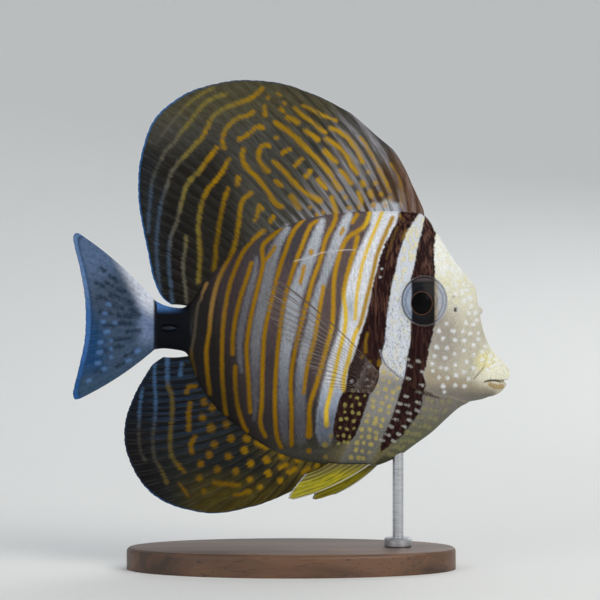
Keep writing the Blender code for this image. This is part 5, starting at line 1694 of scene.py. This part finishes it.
# %% Pectoral fins
SIDES = (("right", -1.0), ("left", 1.0))
PECTORAL_SPREAD = math.radians(18.0)
ROOT_SUNK = 0.6 * MM
root_u, root_v = np.array(PECTORAL_GUIDES)[:, :2].T
root_y = [flank_y(*place(a, b)) for a, b in zip(root_u, root_v)]
lean, upright = math.sin(PECTORAL_SPREAD), math.cos(PECTORAL_SPREAD)
for word, flank in SIDES:
    mesh, across, out, side = flat_sheet(150, 72)
    rayed = Rayed(
        PECTORAL_GUIDES, 19, 0, across, out, bow=-0.03, sunk=0.8 * MM, scallop=0.3 * MM,
        sheath=0.45, rise=0.07 * MM,
    )
    start = np.interp(across, np.linspace(0, 1, len(root_y)), root_y) - ROOT_SUNK
    y = start + rayed.out_mm * MM * lean / upright
    away = side * rayed.half
    points = np.stack([
        rayed.side_view[:, 0] - rayed.along[:, 0] * away * lean,
        flank * (y + away * upright),
        rayed.side_view[:, 1] - rayed.along[:, 1] * away * lean,
    ], axis=1)
    fin = finish_fin(
        f"pectoral_fan_{word}", mesh, points, rayed, {}, {}, clear_paint,
    )
    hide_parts(f"pectoral_fin_{word}")

# %% [markdown]
# ## Pelvic fins
# The pelvic fins are the brightest spot of the fish: saturated olive-yellow with lighter rays
# and a pale leading spine. The near one is folded back and the far one hangs lower, so each has
# guide rays of its own.

# %% Pelvic fin paint: transparent yellow over brown, under satin varnish
# The yellow is sprayed thin, so darker streaks between the rays stay visible through it.
pelvic_paint, add, shader = new_material(
    "yellow_pelvic_membrane", Roughness=0.44, Specular_IOR_Level=0.12
)
ray, out_mm, from_ray, brush, streak = fin_steps(add)
bright = add("MapRange", span(brush, 0.35, 0.65))
dark = add("MapRange", span(streak, 0.50, 0.40))
on_ray = add("MapRange", span(from_ray, 0.16, 0.05))
inner = add("MapRange", span(ray, 3.6, 4.6))
leading = add("MapRange", span(ray, 0.46, 0.24))
margin = add("Attribute", attribute_name="margin_mm")
rim = add("MapRange", span(margin, 0.9, 0.4))
colour = airbrush(add, "#77700E", [
    ("#B0A40C", bright, 1.0),
    ("#40380F", dark, 0.7),
    ("#57502F", inner, 0.85),
    ("#5C5234", add("MapRange", span(out_mm, 8.0, 1.0)), 0.9),
    ("#B5AE4E", on_ray, 0.45),
    ("#A9B2CC", rim, 0.5),
    ("#A8A694", leading, 0.85),
])
height = add("Bump", {"Height": brush, **FIN_BUMP})
wire(shader, Base_Color=colour, Normal=height)

# %% Pelvic fins
PELVIC_SPREAD = math.radians(8.0)
PELVIC_ROOT_Y = 2.3 * MM
for word, flank in SIDES:
    mesh, across, out, side = flat_sheet(72, 56)
    rayed = Rayed(
        PELVIC_GUIDES[word], 7, 1, across, out, bow=0.05, sunk=1.6 * MM, scallop=0.5 * MM,
        sheath=0.5,
    )
    y = PELVIC_ROOT_Y + rayed.out_mm * MM * math.tan(PELVIC_SPREAD) + side * rayed.half
    points = np.stack([rayed.side_view[:, 0], flank * y, rayed.side_view[:, 1]], axis=1)
    fin = finish_fin(
        f"pelvic_fan_{word}", mesh, points, rayed, {}, {}, pelvic_paint,
    )
    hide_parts(f"pelvic_fin_{word}")

# %% [markdown]
# ## Eyes
# Under a clear cornea lies a dark pupil in a thin copper ring, in an iris that the dark eye bar
# crosses. Museum eyes are glass with the iris painted behind. Here one rounded ball with a thin
# clear coat does the same: the sphere's poles point out of the head, so its rings run round the
# pupil.

# %% Glass eye: where each point lies in the iris
# Bare glass would mirror the lamps and hide the iris. A thin clear coat over soft paint leaves
# the eye only a faint gleam, so the dark bar and the copper ring can be seen.
PUPIL_SHARE = 0.425
PUPIL_SHIFT = (0.115, 0.0, 0.085)
IRIS_FIBRE_MM = 0.8
glass_eye, add, shader = new_material(
    "glass_eye", Roughness=0.35, Specular_IOR_Level=0.05, Coat_Weight=0.06, Coat_Roughness=0.05
)
where = add("TexCoord", take="Object")
spread = (1 / (EYE_HALF[0] * MM), 0.0, 1 / (EYE_HALF[2] * MM))
centred = add(
    "Mapping",
    {"Vector": where, "Location": (-EYE_X * spread[0], 0.0, -EYE_Z * spread[2]), "Scale": spread},
)
radius = add("VectorMath", {0: centred}, "Value", operation="LENGTH")
pupil_centred = add("VectorMath", {0: centred, 1: PUPIL_SHIFT}, "Vector", operation="ADD")
pupil_radius = add("VectorMath", {0: pupil_centred}, "Value", operation="LENGTH")
sideways, upwards = [add("SeparateXYZ", {"Vector": centred}, axis) for axis in ("X", "Z")]

# %% Glass eye: painted iris and pupil
lid = add("MapRange", span(upwards, 0.70, 0.84))
fibres = add("TexNoise", {
    "Vector": where, "Scale": 1 / (IRIS_FIBRE_MM * MM), "Detail": 5.0, "Distortion": 0.6,
})
to_front = add("MapRange", span(sideways, -0.1, 0.35))
arcs = add("Math", {0: radius, 1: 26.0}, operation="MULTIPLY")
arcs = add("Math", {0: arcs}, operation="SINE")
arcs = add("MapRange", span(arcs, 0.0, 1.0, 0.0, 0.6))
near_gold = add("MapRange", span(sideways, 0.64, 0.50))
gold = add("Math", {0: near_gold, 1: to_front}, operation="MULTIPLY")
iris = airbrush(add, "#9DA8BA", [
    ("#A9ADB4", to_front, 1.0), ("#A08C5C", gold, 0.75), ("#566480", arcs, 0.8),
    ("#4A4D58", add("MapRange", span(fibres, 0.52, 0.68)), 0.4),
])
bar = add("MapRange", span(sideways, -0.58, -0.50))
bar_front = add("MapRange", span(sideways, 0.49, 0.40))
bar = add("Math", {0: bar, 1: bar_front}, operation="MULTIPLY")
copper = add("MapRange", span(pupil_radius, PUPIL_SHARE + 0.04, PUPIL_SHARE + 0.02))
pupil = add("MapRange", span(pupil_radius, PUPIL_SHARE + 0.02, PUPIL_SHARE))
outer = add("MapRange", span(radius, 0.90, 0.95))
iris = airbrush(add, iris, [
    ("#0A080B", bar, 0.98),
    ("#544B4B", lid, 0.8),
    ("#6B4632", copper, 0.9),
    ("#010102", pupil, 1.0),
    (airbrush(add, "#0B0D12", [("#7E8AA2", to_front, 0.85)]), outer, 1.0),
])
wire(shader, Base_Color=iris)

# %% Eyeballs
flank_normal = Vector(
    normals[np.argmin(np.hypot(smooth_body[:, 0] - EYE_X, smooth_body[:, 2] - EYE_Z)
                      + (smooth_body[:, 1] < 0))]
)
for word, flank in SIDES:
    low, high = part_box(f"eye_{word}")
    outwards = Vector((flank_normal.x, flank * abs(flank_normal.y), flank_normal.z)).normalized()
    turn = Vector((0, 0, 1)).rotation_difference(Vector((0, flank, 0))).to_matrix().to_4x4()
    tilt = Vector((0, flank, 0)).rotation_difference(outwards).to_matrix().to_4x4()
    size = Matrix.Diagonal((*[half * MM for half in EYE_HALF], 1.0))
    bm = bmesh.new()
    bmesh.ops.create_uvsphere(bm, u_segments=96, v_segments=72, radius=1.0)
    bm.transform(Matrix.Translation((low + high) / 2) @ tilt @ size @ turn)
    eye = piece_from(f"glass_eye_{word}", bm, glass_eye)
    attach(eye, "root")
    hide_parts(f"eye_{word}")
print("eye centre", [round(c / MM, 2) for c in (low + high) / 2], "outwards", outwards)

# %% [markdown]
# ## Tail spines
# Surgeonfishes are named for the blade on each side of the tail stalk. At rest it folds forward
# into a slot, under dark skin. A small ball is drawn out into a blade whose tip points to the
# head.

# %% Bone blade under thin dark skin
# Real bone shows only as a dull blue-grey gleam here, because skin covers most of the blade.
GROWTH_MM = 0.5
bone, add, shader = new_material("skin_covered_bone", Roughness=0.45, Specular_IOR_Level=0.2)
where = add("TexCoord", take="Object")
growth = add(
    "TexNoise",
    {"Vector": add("Mapping", {"Vector": where, "Scale": (0.2, 1.0, 1.0)}),
     "Scale": 1 / (GROWTH_MM * MM), "Detail": 3.0},
)
gleam = add("MapRange", span(growth, 0.40, 0.65))
wire(shader, Base_Color=airbrush(add, "#080C16", [("#1C2838", gleam, 0.8)]))

# %% Tail blades
# Half sizes in mm, how much of its girth the blade loses towards the tip, and how far it dips
BLADE_HALF = (2.9, 0.55, 0.85)
BLADE_TAPER = 0.75
BLADE_DIP = 0.25
BLADE_INSIDE = 0.98
for word, flank in SIDES:
    low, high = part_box(f"tail_spine_{word}")
    bm = bmesh.new()
    bmesh.ops.create_uvsphere(bm, u_segments=32, v_segments=24, radius=1.0)
    bm.transform(Matrix.Rotation(math.radians(90), 4, "Y"))
    for vert in bm.verts:
        narrow = 1 - BLADE_TAPER * max(0.0, vert.co.x) ** 1.5
        vert.co.y *= narrow
        vert.co.z = vert.co.z * narrow - BLADE_DIP * max(0.0, vert.co.x) ** 2
    bm.transform(
        Matrix.Translation((low + high) / 2)
        @ Matrix.Diagonal((*[BLADE_INSIDE * half * MM for half in BLADE_HALF], 1.0))
    )
    blade = piece_from(f"tail_blade_{word}", bm, bone)
    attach(blade, "root")
    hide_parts(f"tail_spine_{word}")

# %% [markdown]
# ## Stand
# A swimming fish needs something to hold it. The base is an oval of oiled walnut with a softly
# rounded edge, and the rod is stainless steel, brushed round its axis, in a small collar. Both
# take their places from the CAD: a cylinder scaled to the base's box, and a circle that is
# extruded step by step into collar and rod.

# %% Walnut: planed, oiled wood
# Oil leaves wood with a low satin gloss, in which the figure and the dark pores stay easy to see.
FIGURE_MM = 9.0
PORE_MM = 0.7
walnut, add, shader = new_material(
    "oiled_walnut", Roughness=0.48, Coat_Weight=0.1, Coat_Roughness=0.3
)
where = add("TexCoord", take="Object")
figure, pores = [
    add("TexNoise",
        {"Vector": add("Mapping", {"Vector": where, "Scale": (stretch, 1.0, 1.0)}),
         "Scale": 1 / (size_mm * MM), "Detail": 3.0, "Distortion": bend})
    for stretch, size_mm, bend in ((0.12, FIGURE_MM, 0.8), (0.06, PORE_MM, 0.0))
]
colour = airbrush(add, "#3A2517", [
    ("#694830", add("MapRange", span(figure, 0.35, 0.65)), 1.0),
    ("#20130B", add("MapRange", span(pores, 0.58, 0.70)), 0.7),
])
height = add("Bump", {"Height": pores, "Strength": 0.25, "Distance": 0.05 * MM})
wire(shader, Base_Color=colour, Normal=height)

# %% Base
EDGE_ROUND = 1.6 * MM
low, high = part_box("stand_base")
bm = bmesh.new()
bmesh.ops.create_cone(bm, cap_ends=True, segments=192, radius1=0.5, radius2=0.5, depth=1.0)
bm.transform(Matrix.Translation((low + high) / 2) @ Matrix.Diagonal((*(high - low), 1.0)))
rim = [e for e in bm.edges if all(vert.co.z > high.z - 1e-6 for vert in e.verts)]
bmesh.ops.bevel(
    bm, geom=rim, offset=EDGE_ROUND, offset_type="OFFSET", segments=8, profile=0.5,
    affect="EDGES", material=-1,
)
base = piece_from("oval_base", bm, walnut)
base.data.set_sharp_from_angle(angle=math.radians(50))
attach(base, "root")
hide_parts("stand_base")

# %% Brushed stainless steel
# Brushing round the rod spreads its highlight along the metal and leaves it soft at the sides.
BRUSH_LINE_MM = 0.35
steel, add, shader = new_material("brushed_stainless_steel", Metallic=1.0, Roughness=0.30)
where = add("TexCoord", take="Object")
brushed = add(
    "TexNoise",
    {"Vector": add("Mapping", {"Vector": where, "Scale": (0.1, 0.1, 1.0)}),
     "Scale": 1 / (BRUSH_LINE_MM * MM), "Detail": 2.0},
)
bright = add("MapRange", span(brushed, 0.3, 0.7))
colour = airbrush(add, "#A9ABAF", [("#C9CBCF", bright, 1.0)])
height = add("Bump", {"Height": brushed, "Strength": 0.2, "Distance": 0.02 * MM})
wire(shader, Base_Color=colour, Normal=height)

# %% Rod and collar
COLLAR_RADIUS = 5.0 * MM
ROD_SIDES = 64
# The end of the rod stays hidden in the belly
ROD_HIDDEN = 1.5 * MM
low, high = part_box("stand_rod")
rod_x = (low.x + high.x) / 2
bm = bmesh.new()
bmesh.ops.create_circle(bm, cap_ends=True, segments=ROD_SIDES, radius=COLLAR_RADIUS)
bm.transform(Matrix.Translation((rod_x, 0.0, low.z)))
# Each step raises the top face and widens it, in mm: collar, bevel, the collar's top, and the rod
for rise_mm, wider in ((2.6, 0.0), (0.4, -0.4), (0.0, -2.6), (None, 0.0)):
    top = max((f for f in bm.faces if len(f.verts) == ROD_SIDES), key=lambda f: f.verts[0].co.z)
    made = bmesh.ops.extrude_face_region(bm, geom=[top])
    bmesh.ops.delete(bm, geom=[top], context="FACES_ONLY")
    ring_verts = [g for g in made["geom"] if isinstance(g, bmesh.types.BMVert)]
    lift = high.z + ROD_HIDDEN - ring_verts[0].co.z if rise_mm is None else rise_mm * MM
    for vert in ring_verts:
        spoke = Vector((vert.co.x - rod_x, vert.co.y, 0)).normalized()
        vert.co += spoke * wider * MM + Vector((0, 0, lift))
rod = piece_from("steel_rod", bm, steel)
rod.data.set_sharp_from_angle(angle=math.radians(35))
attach(rod, "root")
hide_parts("stand_rod")
print("rod height", round((high.z - low.z) / MM, 1), "mm at x", round(rod_x / MM, 1), "mm")
